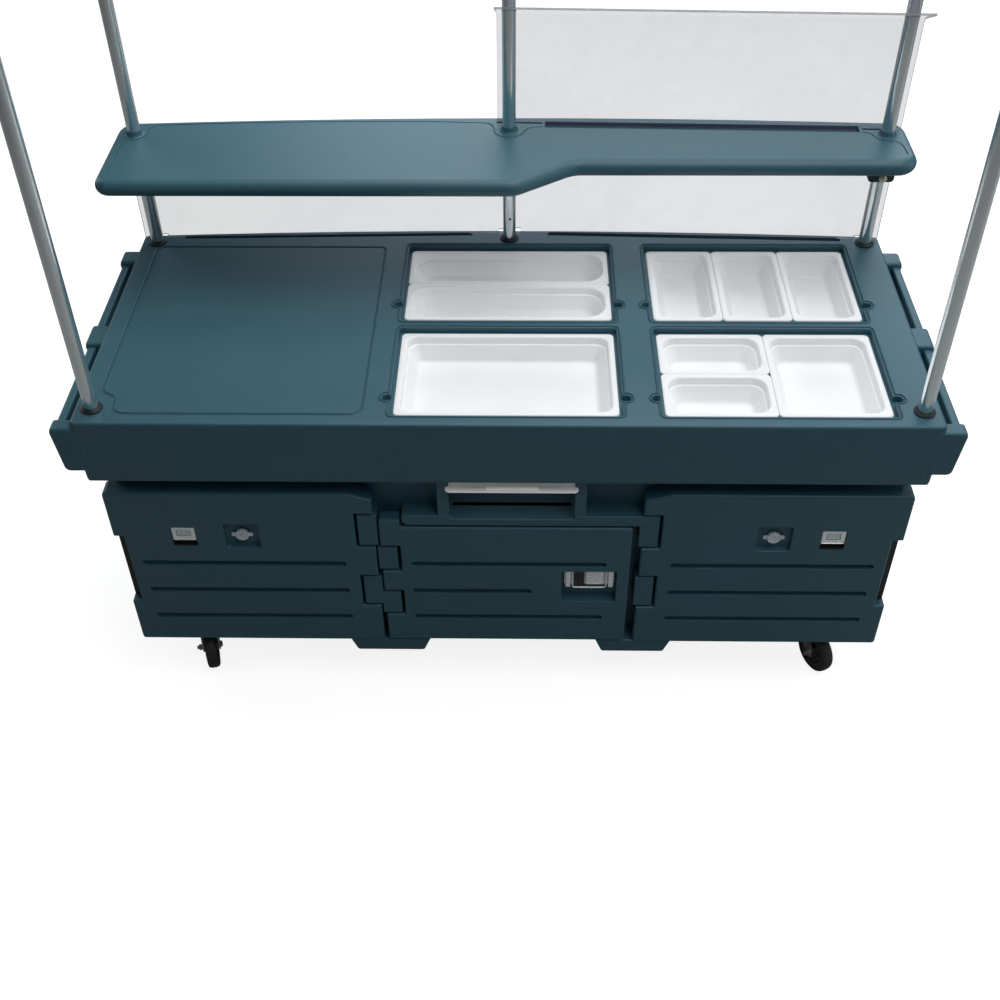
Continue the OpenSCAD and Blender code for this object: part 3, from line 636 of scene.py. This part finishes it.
# collars under the shelf with their thumb-screws
K = Solid(FRONT)
for px, py in ((-967.4, 363.8), (967.4, 363.8), (0, 387.1)):
    col = [(px - 33.4, 1136, 9.5), (px + 33.4, 1136, 9.5), (px + 35, 1192, 8), (px + 35, 1212, 1), (px - 35, 1212, 1), (px - 35, 1192, 8)]
    K.prism(col, -(py + 19), -(py - 30), 4, 4, 3)
collars = obj_from("collar_mouldings", K, [COLLAR], "carcass", ["shelf_collars"])
K = Solid(FRONT)
for px, py in ((-967.4, 363.8), (967.4, 363.8), (0, 387.1)):
    n = 40
    rings = []
    for d, h in ((0, 14), (4, 13.7), (7.2, 12), (8.6, 9.2), (9.0, 8), (10.4, 6.8), (10.4, 3), (9.2, 0.4), (4.2, 0.2), (4.0, -12.6), (0, -12.6)):
        pts = []
        for i in range(n):
            k = 1.0 - (0.05 if i % 4 == 0 and 8 < d else 0.0)
            a = 2 * math.pi * i / n
            pts.append((px + 2 + max(d, 0.01) * k * math.cos(a), 1150 + max(d, 0.01) * k * math.sin(a)))
        rings.append(K.ring(pts, -(py - 30) + h))
    K.stack(rings)
knobs = obj_from("collar_thumbscrews", K, [KNOB], "carcass", ["collar_knobs"], smooth=50)

# painted shade: a black disc inside the locating hole in the centre post, standing in for the shade within the tube
K = Solid(FRONT)
K.lathe([(0.01, -371.2), (3.0, -371.2), (3.4, -371.5), (3.4, -372.3), (3.0, -372.5), (0.01, -372.5)], (2, 1005), 0, 24, close=False)
plug = obj_from("locating_hole_shade_disc", K, [BLACK], "carcass", [])

# grommets
G = Solid(TOP)
POSTS = [(-967.4, -365.6), (967.4, -365.6), (-967.4, 363.8), (967.4, 363.8), (0, 387.1)]
gp = [(17.1, 917), (20.9, 917), (20.9, 936.1), (24.6, 936.1), (25.2, 937.0), (25.2, 938.8), (24.4, 940.0), (22.9, 940.5), (22.2, 941.8), (21.4, 943.0), (20.0, 943.8), (18.4, 943.6), (17.2, 942.4)]
for p in POSTS:
    G.lathe(gp, p, 0, 56)
grom = obj_from("rubber_grommets", G, [BLACK], "carcass", ["post_grommets"])


# ---------------------------------------------------------------- doors
def door_mesh(outline, back_outline, pockets, pin, sgn, name, body, node, shade_block=None):
    """Door slab drawn from the front: w = 350 at the back, 400 at the front."""
    D = Solid(FRONT)
    fr = D.prof(outline, lip(6.5, 400, 4), 4)
    mid = D.prof(outline, [(0, 358.2)], 4)
    D.bridge(fr[-1], mid[0])
    D.fill(mid[0])
    hl = []
    for c, depth, rf, rm, m in pockets:
        pr = D.prof(c, cove(rf, 400 - depth, 2) + mouth(rm, 400, 3), 5, m)
        D.fill(pr[0], m=m)
        hl.append(pr[-1])
    D.fill(fr[0], hl)
    D2 = Solid(FRONT)
    D2.prism(back_outline, 350, 358.2, 0.4, 4, 1, r0=3.0)
    # painted shade: a black block in the recess at the door's outer edge, standing in for the deep shadow between door
    # and body
    if shade_block:
        D2.prism(shade_block, 352, 376, 2.5, 4, 2, m=1)
    ob = obj_from(name, [D, D2], [TEAL, SHADE_BLACK], body, [node])
    # hinge edge, eased behind the pin
    me = ob.data
    bm = bmesh.new()
    bm.from_mesh(me)
    for dx in (0, 6, 11, 15):
        x = (pin + sgn * dx) * 0.001
        geom = [e for e in bm.verts] + [e for e in bm.edges] + [e for e in bm.faces]
        bmesh.ops.bisect_plane(bm, geom=geom, plane_co=(x, 0, 0), plane_no=(1, 0, 0), dist=1e-6)
    py = (-382 + YO) * 0.001
    for v in bm.verts:
        dx = (v.co.x * 1000 - pin) * sgn
        t = v.co.y - py
        if dx > 0 and t > 0:
            # the back corner is eased, so it clears the base as the door turns
            v.co.y = py + t * (1 - 0.34 * (dx / 18.0) ** 2)
    bmesh.ops.remove_doubles(bm, verts=bm.verts, dist=2e-5)
    bmesh.ops.dissolve_degenerate(bm, edges=bm.edges, dist=1e-6)
    bmesh.ops.recalc_face_normals(bm, faces=bm.faces)
    bm.to_mesh(me)
    bm.free()
    me.polygons.foreach_set("use_smooth", [True] * len(me.polygons))
    me.set_sharp_from_angle(angle=math.radians(35))
    return ob


def slot_c(x0, x1, z):
    return (rect(x0, z - 8.5, x1, z + 8.5, 8.3), 12.0, 3.0, 0.9, 0)


def side_outline(s, xo, edge, pin, zt, lugs, recess, z0=161):
    """Counter-clockwise for a door whose outer edge is on the right (s = 1); mirrored for s = -1."""
    nw = pin + s * 30
    # build for the right-hand door: hinge edge on the left
    P = []
    e = edge
    P.append((e, z0, 5))
    P.append((xo, z0, 9))
    if recess:
        P += [(xo, recess[0], 4), (xo - s * 26, recess[0], 5), (xo - s * 26, recess[1], 5), (xo, recess[1], 4)]
    P.append((xo, zt, 12))
    P.append((pin + s * 45, zt, 9))
    P.append((e, zt - 20, 6))
    for z in sorted(lugs, key=lambda q: -q[0]):
        P += [(e, z[1], 3), (nw, z[1], 3), (nw, z[0], 3), (e, z[0], 3)]
    if s < 0:
        P = P[::-1]
    return P


for s, name, node, xo, edge, pin, zt, lugs, lx, kx, g0, g1 in (
        (-1, "left_door_shell", "left_door", -992, -331, -349, 698, [(298, 412), (515, 630)], -812, -666, -936, -411),
        (1, "right_door_shell", "right_door", 992, 339, 357, 700, [(298, 415), (515, 630)], 816, 669, 417, 935)):
    ol = side_outline(s, xo, edge, pin, zt, lugs, (309, 549))
    bl = side_outline(s, xo, edge, pin, zt, lugs, None)
    pk = [slot_c(g0, g1, z) for z in (456, 356, 256)]
    # painted shade: the latch pocket takes the black material (index 1), standing in for the shadow around the latch
    # plate
    pk.append((rect(lx - 29.8, 520, lx + 29.8, 582, 3), 14, 1.0, 1.2, 1))
    pk.append((rect(kx - 43, 511, kx + 43, 593, 9), 16, 4.0, 4.0, 0))
    # the last rectangle is a black block in the outer-edge recess: painted shade for the gap between door and body
    door_mesh(ol, bl, pk, pin, -s, name, node, node, rect(min(s * 962, s * 988.5), 311, max(s * 962, s * 988.5), 547, 3))
co = [(-320, 165, 5), (316, 165, 9), (316, 586, 9), (-266, 586, 3), (-266, 611, 6), (-320, 611, 8)]
for z in ((429, 519), (264, 356)):
    co += [(-320, z[1], 3), (-270, z[1], 3), (-270, z[0], 3), (-320, z[0], 3)]
pk = [slot_c(-244, 255, 457), slot_c(-245, 65, 357), slot_c(-245, 253, 258), (rect(142, 320, 284, 432, 4), 26, 2.0, 1.2, 0)]
cd = door_mesh(co, co, pk, -302, -1, "centre_door_shell", "centre_door", "centre_door")
# the ear above the slab is thinner, so it clears the sill as the door turns
for v in cd.data.vertices:
    if v.co.z > 0.5905 and v.co.y > (-366 + YO) * 0.001:
        v.co.y = (-366 + YO) * 0.001

# ---------------------------------------------------------------- latches
for s, n, x in ((-1, "left", -812), (1, "right", 816)):
    P = Solid(FRONT)
    o = rect(x - 29.3, 537.2, x + 29.3, 581.3, 2.5)
    w = rect(x - 18, 551, x + 18, 574, 1.5)
    ring = P.prof(o, lip(1.2, 398.8, 2) + [(0, 386.2)], 3)
    P.fill(ring[-1])
    hole = P.prof(w, [(0, 388)] + mouth(0.8, 398.8, 2), 3)
    P.fill(hole[0])
    step = P.prof(rect(x - 27, 540.5, x + 27, 545.5, 1.0), [(-0.6, 397.6), (0, 398.1), (0.5, 398.8)], 2)
    P.fill(step[0])
    P.fill(ring[0], [hole[-1], step[-1]])
    obj_from(n + "_latch_plate_detail", P, [STAIN], n + "_door", [n + "_latch_plate"])
    P = Solid(FRONT)
    P.prism(rect(x - 16.8, 552.3, x + 16.8, 571, 1.2), 395.4, 397.8, 0.6, 2, 2)
    P.prism(rect(x - 12, 553.6, x + 12, 557.4, 1.4), 397.6, 398.7, 0.5, 2, 2)
    H = Solid(SIDE)
    H.lathe([(0.01, -20.8), (1.6, -20.8), (1.8, -20.5), (1.8, 20.5), (1.6, 20.8), (0.01, 20.8)], (-396.6, 571), x, 20, close=False)
    obj_from(n + "_paddle_detail", [P, H], [PADDLE], n + "_paddle", [n + "_latch_paddle"])
for n, x in (("left", -666), ("right", 669)):
    P = Solid(FRONT)
    P.lathe([(0.01, 393.9), (5.0, 393.9), (5.6, 394.3), (6.2, 395.3), (12.6, 395.5), (13.6, 396), (16.2, 396), (17, 395.2), (17, 387.4), (16.4, 386.6), (6, 386.4), (6, 375.2), (0.01, 375.2)], (x, 552), 0, 48, close=False)
    for q in (-1, 1):
        wing = [(x + q * 14, 546.4, 0.5), (x + q * 27, 546.4, 3), (x + q * 27, 557.6, 3), (x + q * 14, 557.6, 0.5)]
        if q < 0:
            wing = wing[::-1]
        P.prism(wing, 387.6, 392.8, 1.2, 3, 2)
    P.prism(rect(x - 8.5, 550.6, x + 8.5, 553.4, 1.2), 395.2, 396.6, 0.5, 2, 2)
    obj_from(n + "_lock_detail", P, [PADDLE], n + "_lock", [n + "_lock_knob"])

P = Solid(FRONT)
P.prism(rect(149, 368, 279, 431.5, 3), 374.2, 380, 0.8, 3, 2)
for x0, x1 in ((152.5, 165), (263, 276)):
    P.prism(rect(x0, 369, x1, 431, 2.2), 379.5, 394, 1.6, 3, 3)
    P.prism(rect(x0 + 3.4, 373, x1 - 3.4, 427, 2.0), 393.8, 394.7, 0.7, 2, 2)
obj_from("latch_housing_detail", P, [STAIN], "centre_door", ["draw_latch_housing"])
P = Solid(FRONT)
c = P.prof(rect(173.6, 370, 201, 431, 2), lip(0.5, 389.5, 2) + [(0, 380)], 3)
P.fill(c[-1])
h = P.lathe([(12.05, 384), (12.05, 389.1), (12.4, 389.5)], (187, 400), 0, 48, close=False)
P.fill(h[0])
P.fill(c[0], [h[-1]])
obj_from("lock_case_detail", P, [LOCKBLACK], "centre_door", ["lock_case"])
P = Solid(FRONT)
P.lathe([(11.98, 375.8), (11.98, 388.9), (11.3, 389.9), (9.4, 390.1), (9.0, 391.0), (7.0, 391.2)], (187, 400), 0, 48, close=False)
kr = P.ring([(187 + 7.0 * math.cos(2 * math.pi * i / 48), 400 + 7.0 * math.sin(2 * math.pi * i / 48)) for i in range(48)], 391.2)
kw = P.prof(rect(186.1, 395, 187.9, 405, 0.4), [(0, 388.2), (0, 391.2)], 2)
P.fill(kw[0])
P.fill(kr, [kw[-1]])
bt = P.ring([(187 + 11.98 * math.cos(2 * math.pi * i / 48), 400 + 11.98 * math.sin(2 * math.pi * i / 48)) for i in range(48)], 375.8)
P.fill(bt)
obj_from("key_plug_detail", P, [LOCKBLACK], "lock_plug", ["key_cylinder"])
P = Solid(FRONT)
P.prism(rect(205, 373, 253, 428, 5), 385.0, 387.2, 0.8, 4, 2)
rim = P.prof(rect(207, 375, 251, 426, 4), [(-1.4, 387.2), (-0.6, 388.0), (0.6, 388.0), (1.4, 387.2)], 4)
H = Solid(SIDE)
H.lathe([(0.01, 196.5), (2.4, 196.5), (2.6, 196.8), (2.6, 264.2), (2.4, 264.5), (0.01, 264.5)], (-383.5, 425), 0, 24, close=False)
obj_from("latch_lever_detail", [P, H], [STAIN], "latch_lever", ["draw_latch_lever"])


def tube(points, r, n=16):
    """Round wire along points given in x, y, z millimetres."""
    T = Solid(TOP)
    rings = []
    up = None
    m = len(points)
    for i, p in enumerate(points):
        a = Vector(points[max(0, i - 1)])
        b = Vector(points[min(m - 1, i + 1)])
        t = (b - a).normalized()
        if up is None:
            up = Vector((0, 1, 0)) if abs(t.y) < 0.9 else Vector((1, 0, 0))
        u = t.cross(up).normalized()
        up = u.cross(t).normalized()
        i0 = len(T.v)
        for k in range(n):
            g = 2 * math.pi * k / n
            q = Vector(p) + u * (r * math.cos(g)) + up * (r * math.sin(g))
            T.v.append(tuple(q))
            T.uv.append((0, 0))
        rings.append(list(range(i0, i0 + n)))
    T.stack(rings)
    for rg, rev in ((rings[0], True), (rings[-1], False)):
        T.f.append(tuple(reversed(rg)) if rev else tuple(rg))
        T.m.append(0)
    return T


bail = [(158.5, -390.5, 424), (168, -390.5, 424), (170.2, -390.5, 423.2), (171, -390.5, 421)]
bail += [(171, -390.5, z) for z in (410, 395, 385, 376, 371.5)] + [(171.8, -390.5, 368.2), (174, -390.5, 366), (177.5, -390.5, 365.4)]
bail += [(x, -390.5, 365.4) for x in (190, 205, 220, 235, 245)] + [(250.5, -390.5, 365.4), (254, -390.5, 366), (256.2, -390.5, 368.2), (257, -390.5, 371.5)]
bail += [(257, -390.5, z) for z in (376, 385, 395, 410, 421)] + [(257.8, -390.5, 423.2), (260, -390.5, 424), (269.5, -390.5, 424)]
obj_from("latch_bail_detail", tube(bail, 2.1), [STAIN], "latch_bail", ["draw_latch_bail"])


# ---------------------------------------------------------------- pans and tray
def rring(S, x0, y0, x1, y1, d, r, w, n=7):
    r = min(r, (x1 - x0) / 2 - d - 0.6, (y1 - y0) / 2 - d - 0.6)
    return S.ring(path(rect(x0 + d, y0 + d, x1 - d, y1 - d, max(r, 0.5)), n), w)


def pan(name, node, x0, y0, x1, y1, rz, depth, rc, body, slope=26.0, ro=12.0):
    S = Solid(TOP)
    f = depth - 3.5
    prof = []
    bot = 11.5 + slope
    # floor, cove, sloping wall, ledge, wall, rolled rim, outside
    prof += [(bot + 22, rc, -f), (bot + 12, rc, -f + 0.15)]
    for a in (15, 35, 55, 75):
        g = math.radians(a)
        prof.append((bot + 11 - 13 * math.sin(g), rc, -f + 13 - 13 * math.cos(g)))
    prof += [(bot - 6, rc, -f + 22), (22.4, rc, -24.0), (21.8, rc, -21.6), (20.8, rc, -20.4), (18.6, rc, -19.8), (17.4, rc, -19.3), (16.9, rc, -18.2), (15.4, rc, -5.0), (14.6, rc, -2.4), (13.2, rc, -0.8), (11.4, rc, 0.0)]
    prof += [(8.0, (rc + ro) / 2, 0.0), (4.0, ro, 0.0), (2.2, ro, -0.15), (0.9, ro, -0.9), (0.2, ro, -2.0), (0.0, ro, -3.9)]
    prof += [(1.2, ro, -3.9), (11.6, rc, -3.9), (12.3, rc, -5.0), (13.8, rc, -20.4), (17.6, rc, -24.0), (bot - 9, rc, -f + 20), (bot - 1, rc, -depth + 6), (bot + 4, rc, -depth + 1.2), (bot + 10, rc, -depth)]
    rings = []
    for d, r, h in prof:
        inner = max(r - max(0, d - 12) * 0.55, 9) if d > 12 else r
        rings.append(rring(S, x0, y0, x1, y1, d, inner, rz + h))
    S.stack(rings)
    S.fill(rings[0])
    S.fill(rings[-1])
    return obj_from(name, S, [PAN], body, [node], smooth=55)


RZ = 924.0
for nm, b, rc in (("full_pan", (-265, -369.4, 265, -44.4), 30), ("long_pan_front", (-265, 16.2, 265, 178.4), 52), ("long_pan_back", (-265, 179, 265, 341.2), 52),
                  ("third_pan_left", (370.9, 16.2, 547.2, 341.2), 28), ("third_pan_middle", (547.8, 16.2, 724, 341.2), 28), ("third_pan_right", (724.6, 16.2, 900.9, 341.2), 28),
                  ("quarter_pan_front", (370.9, -369.4, 635.6, -207.2), 36), ("quarter_pan_back", (370.9, -206.6, 635.6, -44.4), 36), ("half_pan", (636.2, -369.4, 900.9, -44.4), 32)):
    pan(nm + "_moulding", nm, b[0], b[1], b[2], b[3], RZ, 65, rc, nm)

T = Solid(TOP)
prof = [(52, 10, -24.5), (40, 14, -24.3), (36.5, 16, -22.5), (34.5, 17, -19), (20, 22, -8), (16.5, 22, -3), (14.5, 22, -0.8), (12.5, 22, 0), (4, 14, 0), (1.6, 13, -0.4), (0.4, 12, -1.6), (0.0, 12, -4.0), (1.4, 12, -4.0), (14.2, 20, -4.0), (17, 20, -8), (33, 16, -22), (37, 14, -27.0), (44, 12, -27.9)]
rings = [rring(T, -149, -412, 175, 110, d, r, 721 + h) for d, r, h in prof]
T.stack(rings)
T.fill(rings[0])
T.fill(rings[-1])
grip = Solid(TOP)
grip.prism(rect(-51, -411.4, 77, -399.5, 5), 719, 729.8, 3.2, 4, 3)
obj_from("pull_out_tray_moulding", [T, grip], [PAN], "tray", ["pull_out_tray"], smooth=55)


# ---------------------------------------------------------------- guards
def guard(name, node, S, matrix=None):
    return obj_from(name, S, [GUARD, EDGE], "carcass", [node], smooth=20, matrix=matrix)


def sheet(corners, w0, w1, n=3):
    P = Solid(FRONT)
    r = P.prof(corners, [(-0.5, w1), (0, w1 - 0.5), (0, w0 + 0.5), (-0.5, w0)], n, m=1)
    P.fill(r[0], m=0)
    P.fill(r[-1], m=0)
    return P


gz = SZ - ST - 0.4
lg = [(30, 936.3, 2), (109, 936.3, 1), (109, 923, 2), (896, 923, 2), (896, 936.3, 1), (938, 936.3, 2), (944, 945.5, 6), (991, 945.5, 6), (996, 936.3, 2), (1006, 936.3, 3), (1006, gz, 4), (5, gz, 2), (5, 948.2, 3), (30, 948.2, 2)]


def pivot(cx, cy, deg):
    """Turn a mesh drawn about (cx, 0) onto the line through (cx, cy)."""
    c = Matrix.Translation((cx * 0.001, (cy + YO) * 0.001, 0))
    return c @ Matrix.Rotation(math.radians(deg), 4, "Z") @ Matrix.Translation((-cx * 0.001, -YO * 0.001, 0))


guard("lower_right_sheet", "lower_right_guard", sheet(lg, -8.2, -2.2), pivot(505.5, 398, -2))
guard("lower_left_sheet", "lower_left_guard", sheet(flip_x(lg), -6.2, -0.2), pivot(-500, 398.5, 1.5))
# upper sheet: straight, then bent forward at the top in a soft curve
U = Solid(SIDE)
line = [(0, SZ - 11.6), (0, 1300), (0, 1400), (0, 1500), (0, 1536), (-1.4, 1542), (-4.6, 1547), (-9, 1550.6), (-40, 1566.2), (-70, 1580.9), (-96.5, 1594)]
lft = []
rgt = []
for i, p in enumerate(line):
    a = line[max(0, i - 1)]
    b = line[min(len(line) - 1, i + 1)]
    t = _unit(_sub(b, a))
    lft.append((p[0] - t[1] * 2.8, p[1] + t[0] * 2.8))
    rgt.append((p[0] + t[1] * 2.8, p[1] - t[0] * 2.8))
holes_at = ((0.0, 387.1), (967.4, 363.8))
# the sheet's faces between its two x stations, with end caps; the flap's post holes are cut out afterwards
prof2 = rgt + lft[::-1]
k = len(line)
ra = U.ring(prof2, -32)
rb = U.ring(prof2, 1007)
for i in range(len(prof2)):
    j = (i + 1) % len(prof2)
    edge = i in (k - 1, 2 * k - 1)
    U.f.append((ra[i], rb[i], rb[j], ra[j]))
    U.m.append(1 if edge else 0)
for rg in (ra, rb):
    for i in range(k - 1):
        U.f.append((rg[i], rg[i + 1], rg[2 * k - 2 - i], rg[2 * k - 1 - i]))
        U.m.append(1)
ug = guard("upper_sheet", "upper_guard", U, pivot(497, 410.7, -2.25))
cutters = []
for px, py in holes_at:
    cc = Solid(TOP)
    cc.lathe([(0.01, 1543), (18.5, 1543), (18.5, 1640), (0.01, 1640)], (px, py), 0, 40, close=False)
    cutters.append(cc)
cut(ug, cutters)

# ---------------------------------------------------------------- casters
CAST = {"front_left": (-842, -301, 14), "front_right": (842, -301, 26), "rear_left": (-842, 331, 20), "rear_right": (842, 331, 8)}
for n, (cx, cy, ang) in CAST.items():
    rot = Matrix.Rotation(math.radians(ang), 4, "Z")
    place = Matrix.Translation((cx * 0.001, (cy + YO) * 0.001, 0)) @ rot @ Matrix.Translation((0, -YO * 0.001, 0))
    # tyre with a crowned tread and a fine centre line
    W = Solid(SIDE)
    tp = [(45.02, -14.6), (50, -15.6), (54, -16), (57.5, -15.6), (60.4, -13.8), (62.2, -10.6), (63.0, -6.6), (63.4, -2.2), (63.1, -1.2), (63.1, 1.2), (63.4, 2.2), (63.0, 6.6), (62.2, 10.6), (60.4, 13.8), (57.5, 15.6), (54, 16), (50, 15.6), (45.02, 14.6)]
    W.lathe(tp, (-40, 63.5), 0, 72)
    obj_from(n + "_tyre_detail", W, [TYRE], n + "_wheel", [n + "_tyre"], matrix=place)
    W = Solid(SIDE)
    hp = [(5.06, -19.5), (12.2, -19.5), (13.2, -18.6), (14, -12), (16, -9), (20, -7.4), (34, -7.0), (37, -9.0), (38.5, -13.6), (40, -14.5), (44.9, -14.5), (44.9, 14.5), (40, 14.5), (38.5, 13.6), (37, 9.0), (34, 7.0), (20, 7.4), (16, 9), (14, 12), (13.2, 18.6), (12.2, 19.5), (5.06, 19.5)]
    W.lathe(hp, (-40, 63.5), 0, 64)
    for q in range(6):
        g = math.radians(60 * q)
        u = Solid(SIDE)
        sp = []
        for (r, t) in ((13, -2.4), (37.5, -1.8), (37.5, 1.8), (13, 2.4)):
            sp.append((-40 + r * math.cos(g) - t * math.sin(g), 63.5 + r * math.sin(g) + t * math.cos(g), 0.8))
        W2 = Solid(SIDE)
        W2.prism(sp, -12, 12, 1.0, 2, 2)
        o = len(W.v)
        W.v += W2.v
        W.uv += W2.uv
        W.f += [tuple(o + i for i in fc) for fc in W2.f]
        W.m += W2.m
    obj_from(n + "_hub_detail", W, [HUB], n + "_wheel", [n + "_hub"], matrix=place)

def dress(node, mat, bevel=0.0, seg=2, angle=30.0):
    ob = nodes[node]
    ob.data.materials.clear()
    ob.data.materials.append(mat)
    if bevel:
        w = ob.modifiers.new("weld", "WELD")
        w.merge_threshold = 2e-5
        b = ob.modifiers.new("bevel", "BEVEL")
        b.width = bevel
        b.segments = seg
        b.limit_method = "ANGLE"
        b.angle_limit = math.radians(angle)
        b.harden_normals = False
        wn = ob.modifiers.new("normals", "WEIGHTED_NORMAL")
        wn.weight = 80


for nd in ("front_left_post", "front_right_post", "rear_left_post", "rear_right_post", "rear_centre_post", "top_frame"):
    dress(nd, ALU)
for nd in ("hinge_pins", "caster_bolts"):
    dress(nd, ZINC)
dress("caster_plates", ZINC, 0.0006)
for n in CAST:
    dress(n + "_fork", ZINC, 0.0005)
    dress(n + "_axle", ZINC, 0.0004)
for nd in ("rear_left_brake_pedal", "rear_right_brake_pedal"):
    dress(nd, PEDAL, 0.0006)

# ---------------------------------------------------------------- floor, light, camera
def seen_or(nt, seen, unseen):
    """One strength for what the eye sees directly, another for the light it gives."""
    lp = nt.nodes.new("ShaderNodeLightPath")
    m = nt.nodes.new("ShaderNodeMix")
    m.data_type = "FLOAT"
    nt.links.new(lp.outputs["Is Camera Ray"], m.inputs[0])
    m.inputs[2].default_value = unseen
    m.inputs[3].default_value = seen
    return m.outputs[0]


fm = bpy.data.meshes.new("floor")
fm.from_pydata([(-14, -10, -0.0005), (14, -10, -0.0005), (14, 16, -0.0005), (-14, 16, -0.0005)], [], [(0, 1, 2, 3)])
floor = bpy.data.objects.new("floor", fm)
bpy.context.scene.collection.objects.link(floor)
FL = bpy.data.materials.new("floor_paint")
FL.use_nodes = True
nt = FL.node_tree
bs = nt.nodes["Principled BSDF"]
fn = tex_noise(nt, 6.0, 3.0, 0.5)
nt.links.new(ramp(nt, fn, (0.34, 0.34, 0.34), (0.36, 0.36, 0.36)), bs.inputs["Base Color"])
bs.inputs["Roughness"].default_value = 0.9
bs.inputs["Specular IOR Level"].default_value = 0.1
bs.inputs["Emission Color"].default_value = (1, 1, 1, 1)
nt.links.new(seen_or(nt, 0.86, 0.0), bs.inputs["Emission Strength"])
fm.materials.append(FL)

world = bpy.context.scene.world or bpy.data.worlds.new("studio")
bpy.context.scene.world = world
world.use_nodes = True
wn = world.node_tree
for nd in list(wn.nodes):
    wn.nodes.remove(nd)
wo_ = wn.nodes.new("ShaderNodeOutputWorld")
bg = wn.nodes.new("ShaderNodeBackground")
bg.inputs["Color"].default_value = (1, 1, 1, 1)
wn.links.new(seen_or(wn, 1.0, 0.145), bg.inputs["Strength"])
wn.links.new(bg.outputs[0], wo_.inputs["Surface"])


def area(name, loc, target, size, power, color=(1, 1, 1), sy=None):
    l = bpy.data.lights.new(name, "AREA")
    l.shape = "RECTANGLE"
    l.size = size
    l.size_y = sy or size
    l.energy = power
    l.color = color
    o = bpy.data.objects.new(name, l)
    o.location = loc
    d = Vector(target) - Vector(loc)
    o.rotation_euler = d.to_track_quat("-Z", "Y").to_euler()
    bpy.context.scene.collection.objects.link(o)
    return o


area("top_soft", (0.6, 0.7, 4.0), (0.2, 0.1, 0.9), 3.2, 102, (0.96, 0.99, 1.0))
area("back_soft", (1.2, 4.8, 3.2), (0.3, 0.0, 1.0), 5.6, 120, (0.82, 0.93, 1.0), 2.2)
area("front_fill", (1.7, -2.2, 5.0), (0.3, 0, 0.8), 2.6, 66, (0.98, 0.99, 1.0))
area("left_side", (-4.2, 2.4, 2.9), (-0.9, -0.3, 1.8), 1.6, 40, (0.94, 1.0, 0.99), 3.4)
area("right_side", (4.6, -0.3, 2.0), (0.9, 0.0, 1.4), 1.4, 34, (0.94, 1.0, 1.0), 3.2)

cam = bpy.data.cameras.new("camera")
cam.lens = 46.1
cam.sensor_width = 36.0
cam.sensor_fit = "HORIZONTAL"
cam.clip_start = 0.05
cam.clip_end = 100
co_ = bpy.data.objects.new("camera", cam)
bpy.context.scene.collection.objects.link(co_)
co_.location = (0.03775, -2.71055, 2.80861)
co_.rotation_euler = (math.radians(47.0899), math.radians(0.4318), math.radians(0.9268))
bpy.context.scene.camera = co_
bpy.context.scene.view_settings.view_transform = "Standard"
